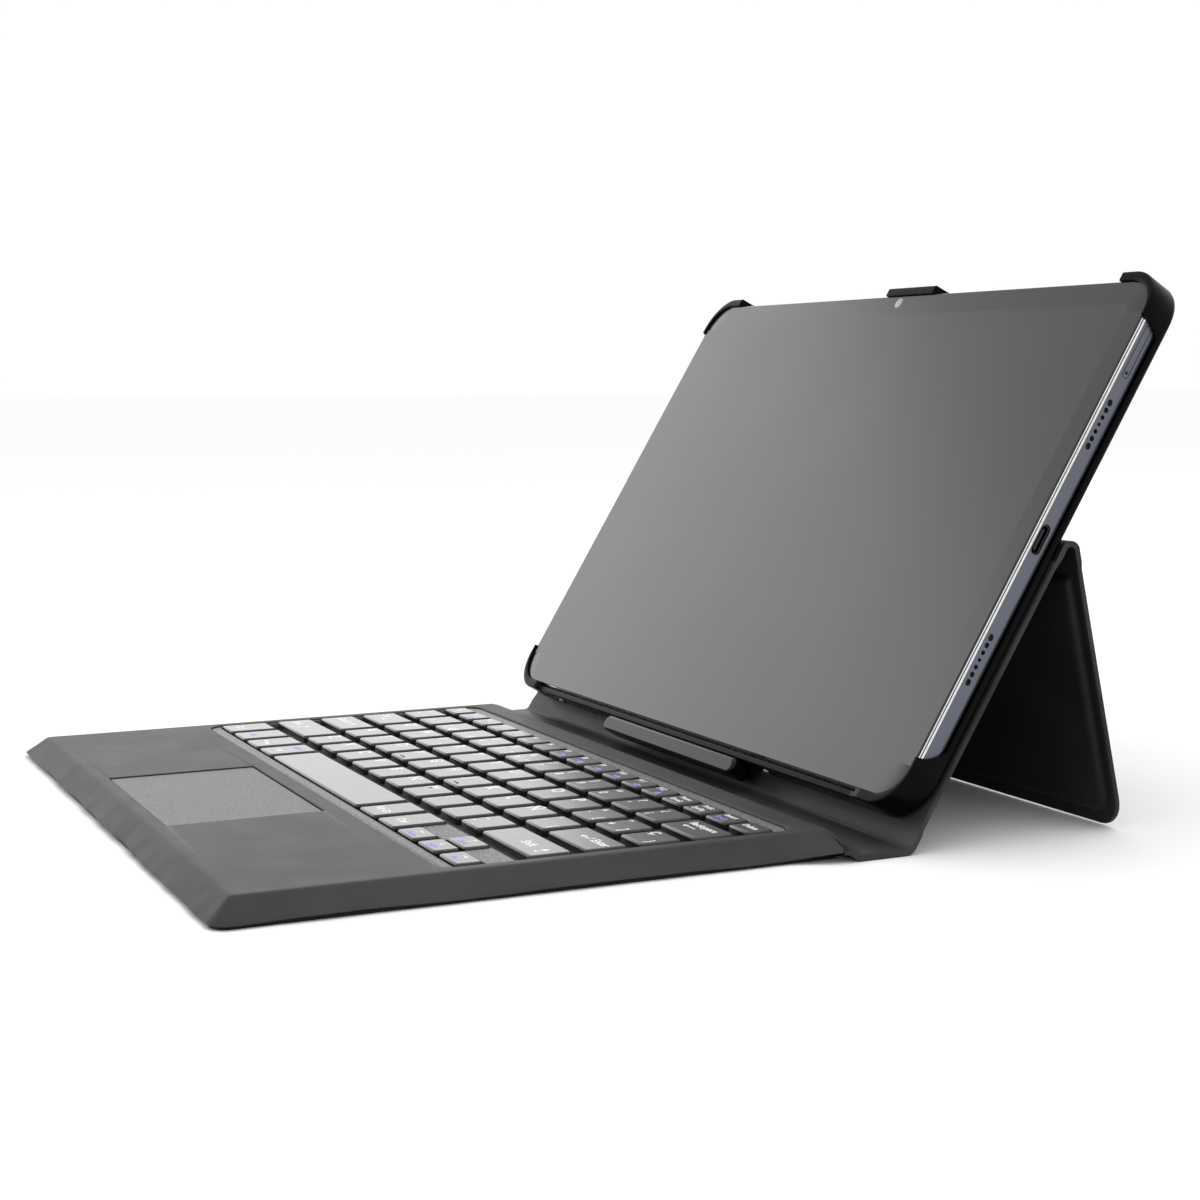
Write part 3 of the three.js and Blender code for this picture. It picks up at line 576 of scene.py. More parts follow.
def build_plate():
    x0, y0, x1, y1 = RECESS
    clear = 0.3
    box = (x0 + clear, y0 + clear, x1 - clear, y1 - clear)
    bevel = [(0.25, PLATE_TOP), (0.08, PLATE_TOP - 0.08), (0, PLATE_TOP - 0.3), (0, DECK_HIGH + 0.1)]
    outer = [inset_ring(box, RECESS_CORNER - clear, inset, z) for inset, z in reversed(bevel)]
    low, high = key_block()
    well = (low.x - 0.6, low.y - 0.6, high.x + 0.6, high.y + 0.6)
    verts, faces = pierced(outer, [hole_rings(well, 0.8, 0.25, PLATE_TOP, DECK_HIGH + 0.1)])
    plate = mesh_object("keyboard_surround", verts, faces, BASE, [PLATE], sharp=40)
    return show(plate, "base", "plate_plastic", "keyboard_plate")


def key_block():
    """The lowest and highest corner of all the caps, in the frame of the base."""
    boxes = [cap_box(node) for node in LEGENDS]
    return (Vector((min(b[0] for b in boxes), min(b[1] for b in boxes), 0)),
            Vector((max(b[2] for b in boxes), max(b[3] for b in boxes), 0)))


def build_deck():
    """The deck under the caps, and the two blanks beside the up arrow, which reach up to the plate."""
    low, high = (BASE.inverted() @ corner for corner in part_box("keyboard_deck"))
    sheet = soft_slab((low.x, low.y, high.x, high.y), 1.0, low.z, DECK_HIGH, 0.15, 2, bend=1)
    left, up, right = (cap_box(node) for node in ("arrow_left_key", "arrow_up_key", "arrow_right_key"))
    gap = 0.6
    front = left[3] + gap
    islands = [(left[0] - 2.4, front, up[0] - gap, up[3] + gap - 0.3),
               (up[2] + gap, front, right[2] + gap - 0.3, up[3] + gap - 0.3)]
    blanks = [soft_slab(box, 0.5, DECK_HIGH, PLATE_TOP, 0.25, 3, round_low=False) for box in islands]
    verts, faces = merged([sheet, *blanks])
    slots = [0] * len(sheet[1]) + [1] * (len(faces) - len(sheet[1]))
    deck = mesh_object("key_deck", verts, faces, BASE, [DECK, PLATE], slots, sharp=40)
    return show(deck, "base", "plate_plastic", "keyboard_deck")


def build_touchpad():
    x0, y0, x1, y1 = PAD
    clear = 0.35
    box = (x0 + clear, y0 + clear, x1 - clear, y1 - clear)
    verts, faces = soft_slab(box, 0.9, 4.6, 6.45, 0.22, 6)
    pad = mesh_object("touchpad_face", verts, faces, BASE, [PADDLE], sharp=40)
    return show(pad, "touchpad", "pad_plastic", "touchpad")


# ---------------------------------------------------------------- keys and their legends
FLANGE = 0.45  # how far a single key's hidden flange reaches past its cap
GAP = 3.0  # between caps
FUNCTION_WIDTH = 11.1

# Each bank's caps from the left, with their print's lines parted by |. A third line stands lower right.
LEGENDS = {
    "escape_key": ["Esc"],
    "function_keys_left": ["F1|ring", "F2|bar", "F3|bar", "F4|left", "F5|play", "F6|right", "F7|low",
                           "F8|high"],
    "function_keys_right": ["F9|bar", "F10|bar", "F11|ring", "F12|dot", "Pause|Break", "PrtSc|SysRq",
                            "Insert|ScrLk", "Delete"],
    "number_keys_left": ["ª|º", "!|1", "\"|2|@", "·|3|#", "$|4|~", "%|5|€", "&|6|¬"],
    "number_keys_right": ["/|7", "(|8", ")|9", "=|0", "?|'", "¿|¡"],
    "backspace_key": ["Backspace"],
    "tab_key": ["Tab"],
    "upper_letter_keys_left": ["Q", "W", "E||€", "R", "T", "Y"],
    "upper_letter_keys_right": ["U", "I", "O", "P", "^|`|[", "*|+|]", "Ç||}"],
    "caps_lock_key": ["Caps Lock"],
    "middle_letter_keys_left": list("ASDFGH"),
    "middle_letter_keys_right": ["J", "K", "L", "Ñ", "¨|´|{"],
    "enter_key": ["Enter"],
    "left_shift_key": ["Shift"],
    "lower_letter_keys_left": list("ZXCVB"),
    "lower_letter_keys_right": ["N", "M", ";|,", ":|.", "_|-"],
    "right_shift_key": ["Shift"],
    "control_key": ["Ctrl"],
    "modifier_keys_left": ["Fn", "Menu", "Alt|Lock"],
    "space_bar": [""],
    "modifier_keys_right": ["Alt Gr", "Ctrl"],
    "arrow_left_key": ["left|Home"],
    "arrow_down_key": ["down|PgDn"],
    "arrow_right_key": ["right|End"],
    "arrow_up_key": ["up|PgUp"],
}
HOMING_KEYS = ("F", "J")


def cap_box(node):
    """A bank's outline over its caps, x0, y0, x1, y1, in the frame of the base."""
    low, high = (BASE.inverted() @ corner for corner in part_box(node))
    edge = FLANGE if len(LEGENDS[node]) == 1 else 0
    return low.x + edge, low.y + edge, high.x - edge, high.y - edge


def cap_boxes(node):
    """Each cap's outline in a bank."""
    x0, y0, x1, y1 = cap_box(node)
    count = len(LEGENDS[node])
    gap = GAP
    if node.startswith("function"):
        gap = (x1 - x0 - count * FUNCTION_WIDTH) / (count - 1)
    width = (x1 - x0 - (count - 1) * gap) / count
    return [(x0 + i * (width + gap), y0, x0 + i * (width + gap) + width, y1) for i in range(count)]


def keycap(box):
    """A cap with cut corners, a skirt and a rolled rim round its top."""
    levels = [(0.12, KEY_LOW), (0, KEY_LOW + 0.15), (0.04, 6.2), (0.1, 6.45), (0.2, 6.68), (0.34, 6.84),
              (0.52, 6.92), (0.75, KEY_TOP)]
    return stack([inset_ring(box, 0.95, inset, z, 3, least=0.6) for inset, z in levels])


text_shapes = {}


def text_shape(words):
    """The closed outline of some words, one unit high, as (verts, faces), its width and its height."""
    if words not in text_shapes:
        curve = bpy.data.curves.new("words", "FONT")
        curve.body, curve.size, curve.extrude, curve.resolution_u = words, 1.0, 0.5, 2
        curve.offset = 0.024
        obj = bpy.data.objects.new("words", curve)
        bpy.context.scene.collection.objects.link(obj)
        mesh = bpy.data.meshes.new_from_object(obj.evaluated_get(bpy.context.evaluated_depsgraph_get()))
        verts = [tuple(v.co) for v in mesh.vertices]
        faces = [tuple(p.vertices) for p in mesh.polygons]
        text_shapes[words] = (verts, faces, max(v[0] for v in verts), max(v[1] for v in verts))
        bpy.data.objects.remove(obj)
        bpy.data.curves.remove(curve)
        bpy.data.meshes.remove(mesh)
    return text_shapes[words]


PRINT = 0.03  # how thick the print is
INK_LOW = KEY_TOP - 0.012


def printed_words(words, x, y, height, anchor=0.0):
    """Words on a cap's top, whose capitals are centred on y.

    They start, are centred or end at x when anchor is 0, 0.5 or 1."""
    verts, faces, width, _ = text_shape(words)
    size = height / text_shape("H")[3]
    x -= anchor * width * size
    y -= height / 2
    placed = [(x + vx * size, y + vy * size, INK_LOW + (vz + 0.5) * PRINT) for vx, vy, vz in verts]
    return placed, faces


def printed_outline(points):
    """A convex outline printed on a cap's top."""
    return stack([[(x, y, z) for x, y in points] for z in (INK_LOW, INK_LOW + PRINT)])


def arrow(x, y, turn, size, shaft=0.9):
    """A head and a shaft that point turn quarter turns left of +X."""
    c, s = [(1, 0), (0, 1), (-1, 0), (0, -1)][turn % 4]
    shapes = [[(0.1, -0.42), (0.8, 0), (0.1, 0.42)]]
    if shaft:
        shapes.append([(-shaft, -0.09), (0.1, -0.09), (0.1, 0.09), (-shaft, 0.09)])
    return [printed_outline([(x + (px * c - py * s) * size, y + (px * s + py * c) * size)
                             for px, py in shape]) for shape in shapes]


def round_dot(x, y, radius, sides=12):
    return printed_outline([(x + radius * math.cos(2 * math.pi * i / sides),
                             y + radius * math.sin(2 * math.pi * i / sides)) for i in range(sides)])


def bar(x, y, half_x, half_y):
    x0, y0, x1, y1 = x - half_x, y - half_y, x + half_x, y + half_y
    return printed_outline([(x0, y0), (x1, y0), (x1, y1), (x0, y1)])


def second_function(kind, box):
    """The small blue sign at the lower right of a function key."""
    x, y = box[2] - 3.4, box[1] + 2.1
    if kind in ("left", "right", "play"):
        return arrow(x, y, 2 if kind == "left" else 0, 1.9, 0) + [bar(x - 1.7, y, 0.3, 0.8)]
    if kind == "ring":
        return [round_dot(x, y, 1.0), round_dot(x - 1.9, y, 0.5), round_dot(x + 1.9, y, 0.5)]
    if kind == "dot":
        return [round_dot(x, y, 1.1)]
    tall = {"low": 0.45, "high": 0.9, "bar": 0.6}[kind]
    return [bar(x, y, 1.3, tall), bar(x - 2.0, y, 0.3, 0.6)]


ARROWS = {"right": 0, "up": 1, "left": 2, "down": 3}


def small_key_legend(lines, box):
    """The print of a key in the row of functions: a name over a sign or a word."""
    x0, _, x1, y1 = box
    middle = (x0 + x1) / 2
    if len(lines) == 1:
        return [printed_words(lines[0], middle, y1 - 3.9, 1.9, 0.5)], []
    name, second = lines
    if name[0] == "F" and name[1:].isdigit():
        return [printed_words(name, x0 + 1.1, y1 - 2.3, 2.1)], second_function(second, box)
    upper = printed_words(name, middle, y1 - 2.3, 1.9, 0.5)
    lower = printed_words(second, middle, y1 - 5.5, 1.9, 0.5)
    return ([upper], [lower]) if second == "ScrLk" else ([upper, lower], [])


def word_legend(word, box):
    """The print of a key that bears one word, and its arrow."""
    x0, y0, x1, y1 = box
    middle = (x0 + x1) / 2
    if word == "Backspace":
        return [printed_words(word, x0 + 3.2, y1 - 3.6, 2.4),
                *arrow(x0 + 6.2, y1 - 7.0, 2, 2.4, 2.0)]
    if word == "Enter":
        return [printed_words(word, x1 - 1.1, y1 - 5.2, 2.8, 1),
                *arrow(x1 - 14.6, y1 - 5.8, 2, 2.6, 1.3),
                bar(x1 - 11.4, y1 - 5.0, 0.25, 0.9)]
    if word == "Shift":
        start = x1 - 17.0 if x0 > 0 else x0 + 2.4
        return [printed_words(word, start, y1 - 6.4, 2.8),
                *arrow(start + 12.4, y1 - 6.6, 1, 2.9, 0.6),
                bar(start + 12.4, y1 - 8.2, 0.8, 0.7)]
    if word == "Tab":
        return [printed_words(word, x0 + 2.2, y1 - 4.6, 2.8),
                *arrow(x0 + 10.4, y1 - 7.8, 0, 2.4, 1.6)]
    if word == "Caps Lock":
        return [printed_words(word, x0 + 2.2, y1 - 5.2, 2.7)]
    return [printed_words(word, middle, y0 + 5.3, 2.5, 0.5)]


def legend(node, words, box):
    """The white and the blue print of one cap, as two lists of (verts, faces)."""
    x0, y0, x1, y1 = box
    middle = (x0 + x1) / 2
    lines = words.split("|")
    if lines[0] in ARROWS:
        sign = arrow(middle, y1 - 2.3, ARROWS[lines[0]], 1.7)
        return sign, [printed_words(lines[1], middle, y0 + 2.3, 1.9, 0.5)]
    if y1 - y0 < 9:
        return small_key_legend(lines, box)
    if lines[-1] == "Lock":
        return word_legend(lines[0], box), [printed_words(lines[1], middle, y1 - 4.2, 2.2, 0.5)]
    if len(words) > 2 and len(lines) == 1:
        return word_legend(words, box), []
    if words == "Fn":
        return [], word_legend(words, box)
    if len(lines) == 1:
        return [printed_words(words, x0 + 1.3, y1 - 3.3, 4.0)], []
    inset = 2.4 if node.startswith("number") else 1.6
    white = [printed_words(line, x0 + inset, y, 3.0)
             for line, y in zip(lines, (y1 - 3.0, y1 - 8.2)) if line]
    if len(lines) > 2:
        white.append(printed_words(lines[2], x1 - 1.2, y1 - 8.4, 2.8, 1))
    return white, []


def build_keys():
    for node, words in LEGENDS.items():
        boxes = cap_boxes(node)
        parts = [keycap(box) for box in boxes]
        for text, (x0, y0, x1, _) in zip(words, boxes):
            if text in HOMING_KEYS:
                middle = (x0 + x1) / 2
                ridge = (middle - 1.7, y0 + 1.7, middle + 1.7, y0 + 2.3)
                parts.append(soft_slab(ridge, 0.25, KEY_TOP - 0.05, KEY_TOP + 0.18, 0.12, 3,
                                       round_low=False, bend=2))
        caps = mesh_object(f"{node}_caps", *merged(parts), BASE, [KEY], sharp=45)
        show(caps, node, "key_plastic", node)
        prints = [legend(node, text, box) for text, box in zip(words, boxes) if text]
        for color, ink, index in (("white", INK, 0), ("blue", INK_BLUE, 1)):
            shapes = [shape for pair in prints for shape in pair[index]]
            if shapes:
                printed = mesh_object(f"{node}_legend_{color}", *merged(shapes), BASE, [ink])
                show(printed, node, "key_plastic")


# ---------------------------------------------------------------- the left edge's port and switch
def paint(name, material):
    """The CAD node keeps its shape and takes a material."""
    node = frame["nodes"][name]
    node.data.materials.clear()
    node.data.materials.append(material)
    return node


def build_ports():
    for name, material, width in (("port_block", SHELL, 0.25), ("charge_socket", STEEL, 0.08),
                                  ("power_switch", KEY, 0.2)):
        node = paint(name, material)
        bevel = node.modifiers.new("rolled_edges", "BEVEL")
        bevel.width, bevel.segments, bevel.limit_method = width * MM, 3, "ANGLE"


# ---------------------------------------------------------------- leather of the spine and the folds
def stations(half, middle_step=4.0, end_step=0.9, end_length=22.0):
    """Places across the case, closer together near its two ends."""
    inner = half - end_length
    count = round(2 * inner / middle_step)
    ends = round(end_length / end_step)
    left = [-half + end_length * i / ends for i in range(ends)]
    middle = [-inner + 2 * inner * i / count for i in range(count + 1)]
    return left + middle + [-x for x in reversed(left)]


def end_share(x, start=116.0):
    return smooth((abs(x) - start) / (LEATHER_HALF - start))


MEETING_Y = 175.0  # where the front and the back leather of the spine meet
LINING = 1.0


def lining_height(x, y):
    """The upper face of the lining between the base's back edge and the spine."""
    along = (y - TOP_DEPTH) / (MEETING_Y - 2 - TOP_DEPTH)
    middle = LEATHER + (BASE_HEIGHT - LEATHER) * (1 - smooth(along))
    crest = 4.35 * (1 - smooth((y - TOP_DEPTH) / 4.6))
    swell, crest_y, spread = (0.7, 171.5, 2.2) if x > 0 else (0.3, 170, 3)
    wave = swell * math.exp(-(((y - crest_y) / spread) ** 2))
    end = LEATHER + 0.15 + crest * 0.62 + wave * 0.5
    share = end_share(x, 117.0)
    ripple = 0.22 * noise.noise(Vector((x * 0.012, y * 0.33, 4.0)))
    ripple = ripple * smooth(along * 3) * smooth((1 - along) * 3)
    return middle + (end - middle) * share + ripple


def build_spine_front():
    """The lining that slopes from the base's back edge to the table, and the outer leather under it."""
    columns = stations(LEATHER_HALF)
    rows = [TOP_DEPTH + 0.03 + (MEETING_Y - TOP_DEPTH - 0.03) * i / 30 for i in range(31)]
    upper = [[(x, y, lining_height(x, y)) for x in columns] for y in rows]
    lower = [[(x, y, lining_height(x, y) - LINING) for x in columns] for y in rows]
    verts, faces, slots = sheet_mesh(upper, lower)
    lining = mesh_object("spine_lining_front", verts, faces, BASE, [SPINE_LEATHER_PAINTED_SHEEN, CUT_EDGE], slots,
                         sharp=50)
    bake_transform(lining)
    flat = LEATHER - LINING - 0.05

    def lift(x, y):
        """The outer leather follows the lining at its two ends."""
        held = lining_height(x, max(y, TOP_DEPTH)) - LINING - 0.03 - flat
        return max(0.0, held) * end_share(x, 119.0)

    upper = [[(x, y, flat + lift(x, y)) for x in columns] for y in [TOP_DEPTH - 1] + rows]
    lower = [[(x, y, max(0.0, z - 1.3)) for x, y, z in row] for row in upper]
    verts, faces, slots = sheet_mesh(upper, lower)
    outer = mesh_object("spine_outer_leather_front", verts, faces, BASE, [LEATHER_OUT, CUT_EDGE], slots,
                        sharp=50)
    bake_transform(outer)


def bent_path(first, corner, last, radius, steps, spacing=1.2):
    """Points and unit normals, left of the way, along two straights joined by an arc, in a plane."""
    first, corner, last = Vector(first), Vector(corner), Vector(last)
    a, b = (corner - first).normalized(), (last - corner).normalized()
    turn = a.angle_signed(b)
    reach = radius * math.tan(abs(turn) / 2)
    side = -math.copysign(1, turn)
    start, end = corner - a * reach, corner + b * reach
    normal = Vector((-a.y, a.x)) * side
    centre = start + normal * radius
    points, normals = [], []
    count = max(2, round((start - first).length / spacing))
    for i in range(count):
        points.append(first.lerp(start, i / count))
        normals.append(Vector((-a.y, a.x)))
    for i in range(steps + 1):
        angle = -turn * i / steps
        c, s = math.cos(angle), math.sin(angle)
        out = -normal * radius
        points.append(centre + Vector((out.x * c - out.y * s, out.x * s + out.y * c)))
        way = Vector((a.x * c - a.y * s, a.x * s + a.y * c))
        normals.append(Vector((-way.y, way.x)))
    count = max(2, round((last - end).length / spacing))
    for i in range(1, count + 1):
        points.append(end.lerp(last, i / count))
        normals.append(Vector((-b.y, b.x)))
    return points, normals


def tray_to_base(y, z):
    """A point of the tray's frame as (y, z) in the frame of the base."""
    point = BASE.inverted() @ (TRAY @ Vector((0, y, z)))
    return point.y, point.z


FOLD = 1.5  # thickness of the leather and lining together
OVERLAP = 4.0  # how far a fold's leather runs over the panels' borders
PROUD = 0.06  # how far it stands off them
SUNK = 0.2  # and how far its end sinks into them
PANEL_LOW = -5.0  # where the back panel's border starts, in the frame of the tray
BORDER_Z = -PANEL_FACE + PANEL - FOLD / 2  # the middle of that border


def build_spine_back():
    """Leather and lining together, from the middle of the spine up to the back panel."""
    low, high = tray_to_base(PANEL_LOW - 20, BORDER_Z), tray_to_base(PANEL_LOW + 0.15, BORDER_Z)
    share = (FOLD / 2 - low[1]) / (high[1] - low[1])
    corner = (low[0] + (high[0] - low[0]) * share, FOLD / 2 + 0.1)
    last = tray_to_base(PANEL_LOW + OVERLAP, BORDER_Z)
    points, normals = bent_path((MEETING_Y - 0.02, FOLD / 2 + 0.1), corner, last, 3.2, 14, 0.8)
    columns = stations(LEATHER_HALF)

    def face(side):
        rows = []
        for i, (p, n) in enumerate(zip(points, normals)):
            ease = math.sin(math.pi * i / (len(points) - 1))
            sunk = smooth((i - len(points) + 6) / 5)
            half = FOLD / 2 + PROUD * smooth(i / 6) - SUNK * sunk
            row = []
            for x in columns:
                ripple = 0
                if side > 0:
                    ripple = 0.35 * noise.noise(Vector((x * 0.02, i * 0.25, 1.7))) * ease
                offset = side * half - max(0, ripple) * 0.6
                drawn_in = x / LEATHER_HALF * 0.6 * sunk
                row.append((x - drawn_in, p.x + n.x * offset, p.y + n.y * offset))
            rows.append(row)
        return rows

    verts, faces, slots = sheet_mesh(face(1), face(-1))
    leather = mesh_object("spine_leather_back", verts, faces, BASE, [SPINE_LEATHER_PAINTED_SHEEN, CUT_EDGE], slots,
                          sharp=50)
    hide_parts("spine_panel")
    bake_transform(leather)


def stand_to_base(y, z):
    point = BASE.inverted() @ (STAND @ Vector((0, y, z)))
    return point.y, point.z


def build_stand_fold():
    """The leather over the ridge between the back panel and the stand."""
    radius = PANEL - FOLD / 2 + 0.15
    pivot = Vector(stand_to_base(0, 0))
    first, last = Vector(tray_to_base(0, 0)), Vector(tray_to_base(1, 0))
    rise = (last - first).normalized()
    fall = (Vector(stand_to_base(1, 0)) - pivot).normalized()
    turn = rise.angle_signed(fall)
    out = Vector((-rise.y, rise.x))
    reach = STAND_START + OVERLAP
    ways, steps = [], 18
    for i in range(6):
        ways.append((pivot - rise * reach * (1 - i / 6) + out * radius, out))
    for i in range(steps + 1):
        angle = -turn * i / steps
        c, s = math.cos(angle), math.sin(angle)
        normal = Vector((out.x * c - out.y * s, out.x * s + out.y * c))
        swell = 0.45 * math.sin(math.pi * i / steps)
        ways.append((pivot + normal * (radius + swell), normal))
    final = ways[-1][1]
    for i in range(1, 7):
        ways.append((pivot + fall * reach * i / 6 + final * radius, final))
    columns = stations(LEATHER_HALF)

    def face(side):
        rows = []
        for i, (p, n) in enumerate(ways):
            sunk = smooth(1 - min(i, len(ways) - 1 - i) / 4)
            half = side * (FOLD / 2 + PROUD - SUNK * sunk)
            rows.append([(x - x / LEATHER_HALF * 0.6 * sunk, p.x + n.x * half, p.y + n.y * half)
                         for x in columns])
        return rows

    verts, faces, slots = sheet_mesh(face(1), face(-1))
    fold = mesh_object("stand_fold_leather", verts, faces, BASE, [LEATHER_OUT, CUT_EDGE], slots,
                       sharp=50)
    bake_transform(fold)


# ---------------------------------------------------------------- back panel and stand
STAND_PIVOT_Y = (TRAY.inverted() @ pivots["stand_fold"]).y
PANEL_TOP = STAND_PIVOT_Y - STAND_START


def bordered_panel(box, corners, outer_z, inner_z, border):
    """A board in leather, whose border is pressed thin from the outer side and whose edge is cut.

    Slots: 0 the outer leather, 1 the cut edge, 2 the lining."""
    edge_z = inner_z - FOLD
    levels = [(border + 6, outer_z), (border + 2.4, outer_z), (border + 1.6, outer_z + 0.12),
              (border + 0.9, outer_z + 0.5), (border + 0.3, edge_z - 0.2), (border - 0.3, edge_z + 0.12),
              (border - 1, edge_z + 0.12), (border - 1.8, edge_z), (1.2, edge_z), (0.5, edge_z + 0.08),
              (0.12, edge_z + 0.3), (0, edge_z + 0.6), (0, inner_z - 0.5), (0.12, inner_z - 0.2),
              (0.5, inner_z), (3, inner_z)]
    rings = [inset_ring(box, corners, inset, z, least=1.0) for inset, z in levels]
    verts, faces = stack(rings)
    count = len(rings[0])
    band_slots = [0] * 9 + [1] * 5 + [2]
    slots = [slot for slot in band_slots for _ in range(count)] + [0, 2]
    return verts, faces, slots


def camera_window(y, room=0):
    """The outline x0, y0, x1, y1 of the camera's opening about a height y, with room to spare round it."""
    half_w, half_h = CAMERA_HALF_W + room, CAMERA_HALF_H + room
    return CAMERA_X - half_w, y - half_h, CAMERA_X + half_w, y + half_h


def build_back_panel():
    box = (-LEATHER_HALF + PROUD, PANEL_LOW, LEATHER_HALF - PROUD, PANEL_TOP)
    verts, faces, slots = bordered_panel(box, 1.5, -PANEL_FACE, -PANEL_FACE + PANEL, 8)
    materials = [LEATHER_OUT, CUT_EDGE, LEATHER_TOP]
    panel = mesh_object("back_panel_leather", verts, faces, TRAY, materials, slots, sharp=50)
    return show(panel, "tray", "leather", "back_panel")


def build_stand():
    face = 0.15
    box = (-LEATHER_HALF + PROUD, STAND_START, LEATHER_HALF - PROUD, STAND_LENGTH)
    verts, faces, slots = bordered_panel(box, [1.5, 9, 9, 1.5], face, face + PANEL, 4)
    materials = [LEATHER_OUT, CUT_EDGE, LEATHER_TOP]
    flap = mesh_object("stand_flap_leather", verts, faces, STAND, materials, slots)
    hole = camera_window(CAMERA_Y - STAND_PIVOT_Y, 1)
    cut(flap, (*soft_slab(hole, 5, -3, 7, 0.5, 8), STAND))
    round_off(flap, 50)
    return show(flap, "stand", "leather", "stand_panel")


# ---------------------------------------------------------------- tray
def rim_height(x, y):
    """How high the tray's wall stands at a place on its outline: full at the clips, low between them."""
    def between(place, knots):
        for (a, za), (b, zb) in zip(knots, knots[1:]):
            if place <= b:
                t = (place - a) / (b - a)
                u = t if zb > za else 1 - t
                bow = 0.35 * u + 0.65 * (1 - math.sqrt(max(0.0, 1 - u * u)))
                return za if za == zb else min(za, zb) + abs(zb - za) * bow
        return knots[-1][1]

    if abs(x) > TRAY_HALF - 0.01:
        return between(y, [(-9, LIP), (13.8, LIP), (19.2, SIDE_RIM), (148.8, SIDE_RIM), (152.4, LIP),
                           (200, LIP)])
    if y < TRAY_LOW + 0.01:
        return between(abs(x), [(-1, FOOT_RIM), (108, FOOT_RIM), (111, LIP), (140, LIP)])
    if y > TRAY_HIGH - 0.01:
        middle = 18.4 if x > 0 else 9.4
        return between(abs(x), [(-1, LIP), (middle, LIP), (middle + 3.6, SIDE_RIM), (109, SIDE_RIM),
                                (112.6, LIP), (140, LIP)])
    return LIP


def tray_outline():
    """Places round the tray with the way out of it at each, counter-clockwise."""
    fine = 0.5
    places = []
    corner = TRAY_CORNER
    straights = [((TRAY_HALF, TRAY_LOW + corner), (TRAY_HALF, TRAY_HIGH - corner), (1, 0)),
                 ((TRAY_HALF - corner, TRAY_HIGH), (corner - TRAY_HALF, TRAY_HIGH), (0, 1)),
                 ((-TRAY_HALF, TRAY_HIGH - corner), (-TRAY_HALF, TRAY_LOW + corner), (-1, 0)),
                 ((corner - TRAY_HALF, TRAY_LOW), (TRAY_HALF - corner, TRAY_LOW), (0, -1))]
    arc_steps = 16
    for (ax, ay), (bx, by), out in straights:
        length = math.hypot(bx - ax, by - ay)
        step_x, step_y = (bx - ax) / length * fine, (by - ay) / length * fine
        count = round(length / fine)
        for i in range(count):
            t = i / count
            place = (ax + (bx - ax) * t, ay + (by - ay) * t)
            flat = rim_height(*place)
            before = rim_height(place[0] - step_x, place[1] - step_y)
            after = rim_height(place[0] + step_x, place[1] + step_y)
            if i % 8 == 0 or before != flat or after != flat:
                places.append((place, out, flat))
        cx, cy = bx - out[0] * corner, by - out[1] * corner
        for i in range(arc_steps):
            angle = math.atan2(out[1], out[0]) + 0.5 * math.pi * i / arc_steps
            normal = (math.cos(angle), math.sin(angle))
            places.append(((cx + normal[0] * corner, cy + normal[1] * corner), normal, LIP))
    return places


SIDE_WALL, END_WALL = 0.8, 2.1  # thickness of the wall at the tablet's short and at its long edges


def build_tray():
    floor_z, lip = -TABLET_THICK - 0.3, 1.0

    def section(top, wall):
        """The wall's outline, as (out, z), from the outer edge of its back round to the room's floor."""
        held = min(1.0, max(0.0, (top + 0.1) / 0.4)) * lip
        full = wall + held
        r, soft = min(0.7, 0.5 * full), min(0.35, 0.3 * full)
        under = min(top - soft - 0.05, 0.06)
        return [(-1.5, -TRAY_BACK), (-0.8, -TRAY_BACK + 0.14), (-0.25, -TRAY_BACK + 0.55),
                (0, -TRAY_BACK + 1.4), (0, top - r), (-0.12 * r, top - 0.5 * r),
                (-0.4 * r, top - 0.15 * r), (-r, top), (-full + soft, top),
                (-full + 0.3 * soft, top - 0.3 * soft), (-full, top - soft), (-full, under),
                (-wall, under), (-wall, floor_z + 0.4), (-wall - 0.15, floor_z + 0.1),
                (-wall - 0.6, floor_z)]

    outline = tray_outline()
    walls = [SIDE_WALL + (END_WALL - SIDE_WALL) * abs(out[1]) for _, out, _ in outline]
    profiles = [section(top, wall) for (_, _, top), wall in zip(outline, walls)]
    rings = []
    for level in range(len(profiles[0])):
        ring = []
        for ((x, y), (nx, ny), _), profile in zip(outline, profiles):
            out, z = profile[level]
            ring.append((x + nx * out, y + ny * out, z))
        rings.append(ring)
    verts, faces = stack(rings)
    tray = mesh_object("tray_shell_moulded", verts, faces, TRAY, [SHELL])
    cut(tray, (*soft_slab(camera_window(CAMERA_Y), 5, -TRAY_BACK - 3, -5, 0.4, 8), TRAY))
    round_off(tray, 42)
    return show(tray, "tray", "shell_plastic", "tray_shell")


def build_docking_bar():
    head = soft_slab((-46, -8.0, 46, -2.7), 2.5, -6.0, 1.2, 1.1, 8, bend=6)
    foot = soft_slab((-36.5, -7.0, 36.5, -4.8), 0.6, -9.7, -5.2, 0.3, 3)
    moulding = mesh_object("docking_bar_moulded", *merged([head, foot]), TRAY, [BAR], sharp=40)
    return show(moulding, "tray", "gloss_bar", "docking_bar")


# ---------------------------------------------------------------- tablet
SPEAKERS = (45.5, 119.5)
# each hole's place along the row, its length and its width
SPEAKER_HOLES = [(-6.9, 2.0, 1.7), (-4.5, 1.6, 1.5), (-2.2, 1.35, 1.35), (0, 1.1, 1.1),
                 (2.2, 1.35, 1.35), (4.5, 1.6, 1.5), (6.9, 2.0, 1.7)]
SPEAKER_Z = -3.3
USB_Y, USB_Z = 83.0, -3.4
SIM_Y, SIM_Z = 143.0, -3.7
LENS_Y = 161.6
LENS_SIDES = 28


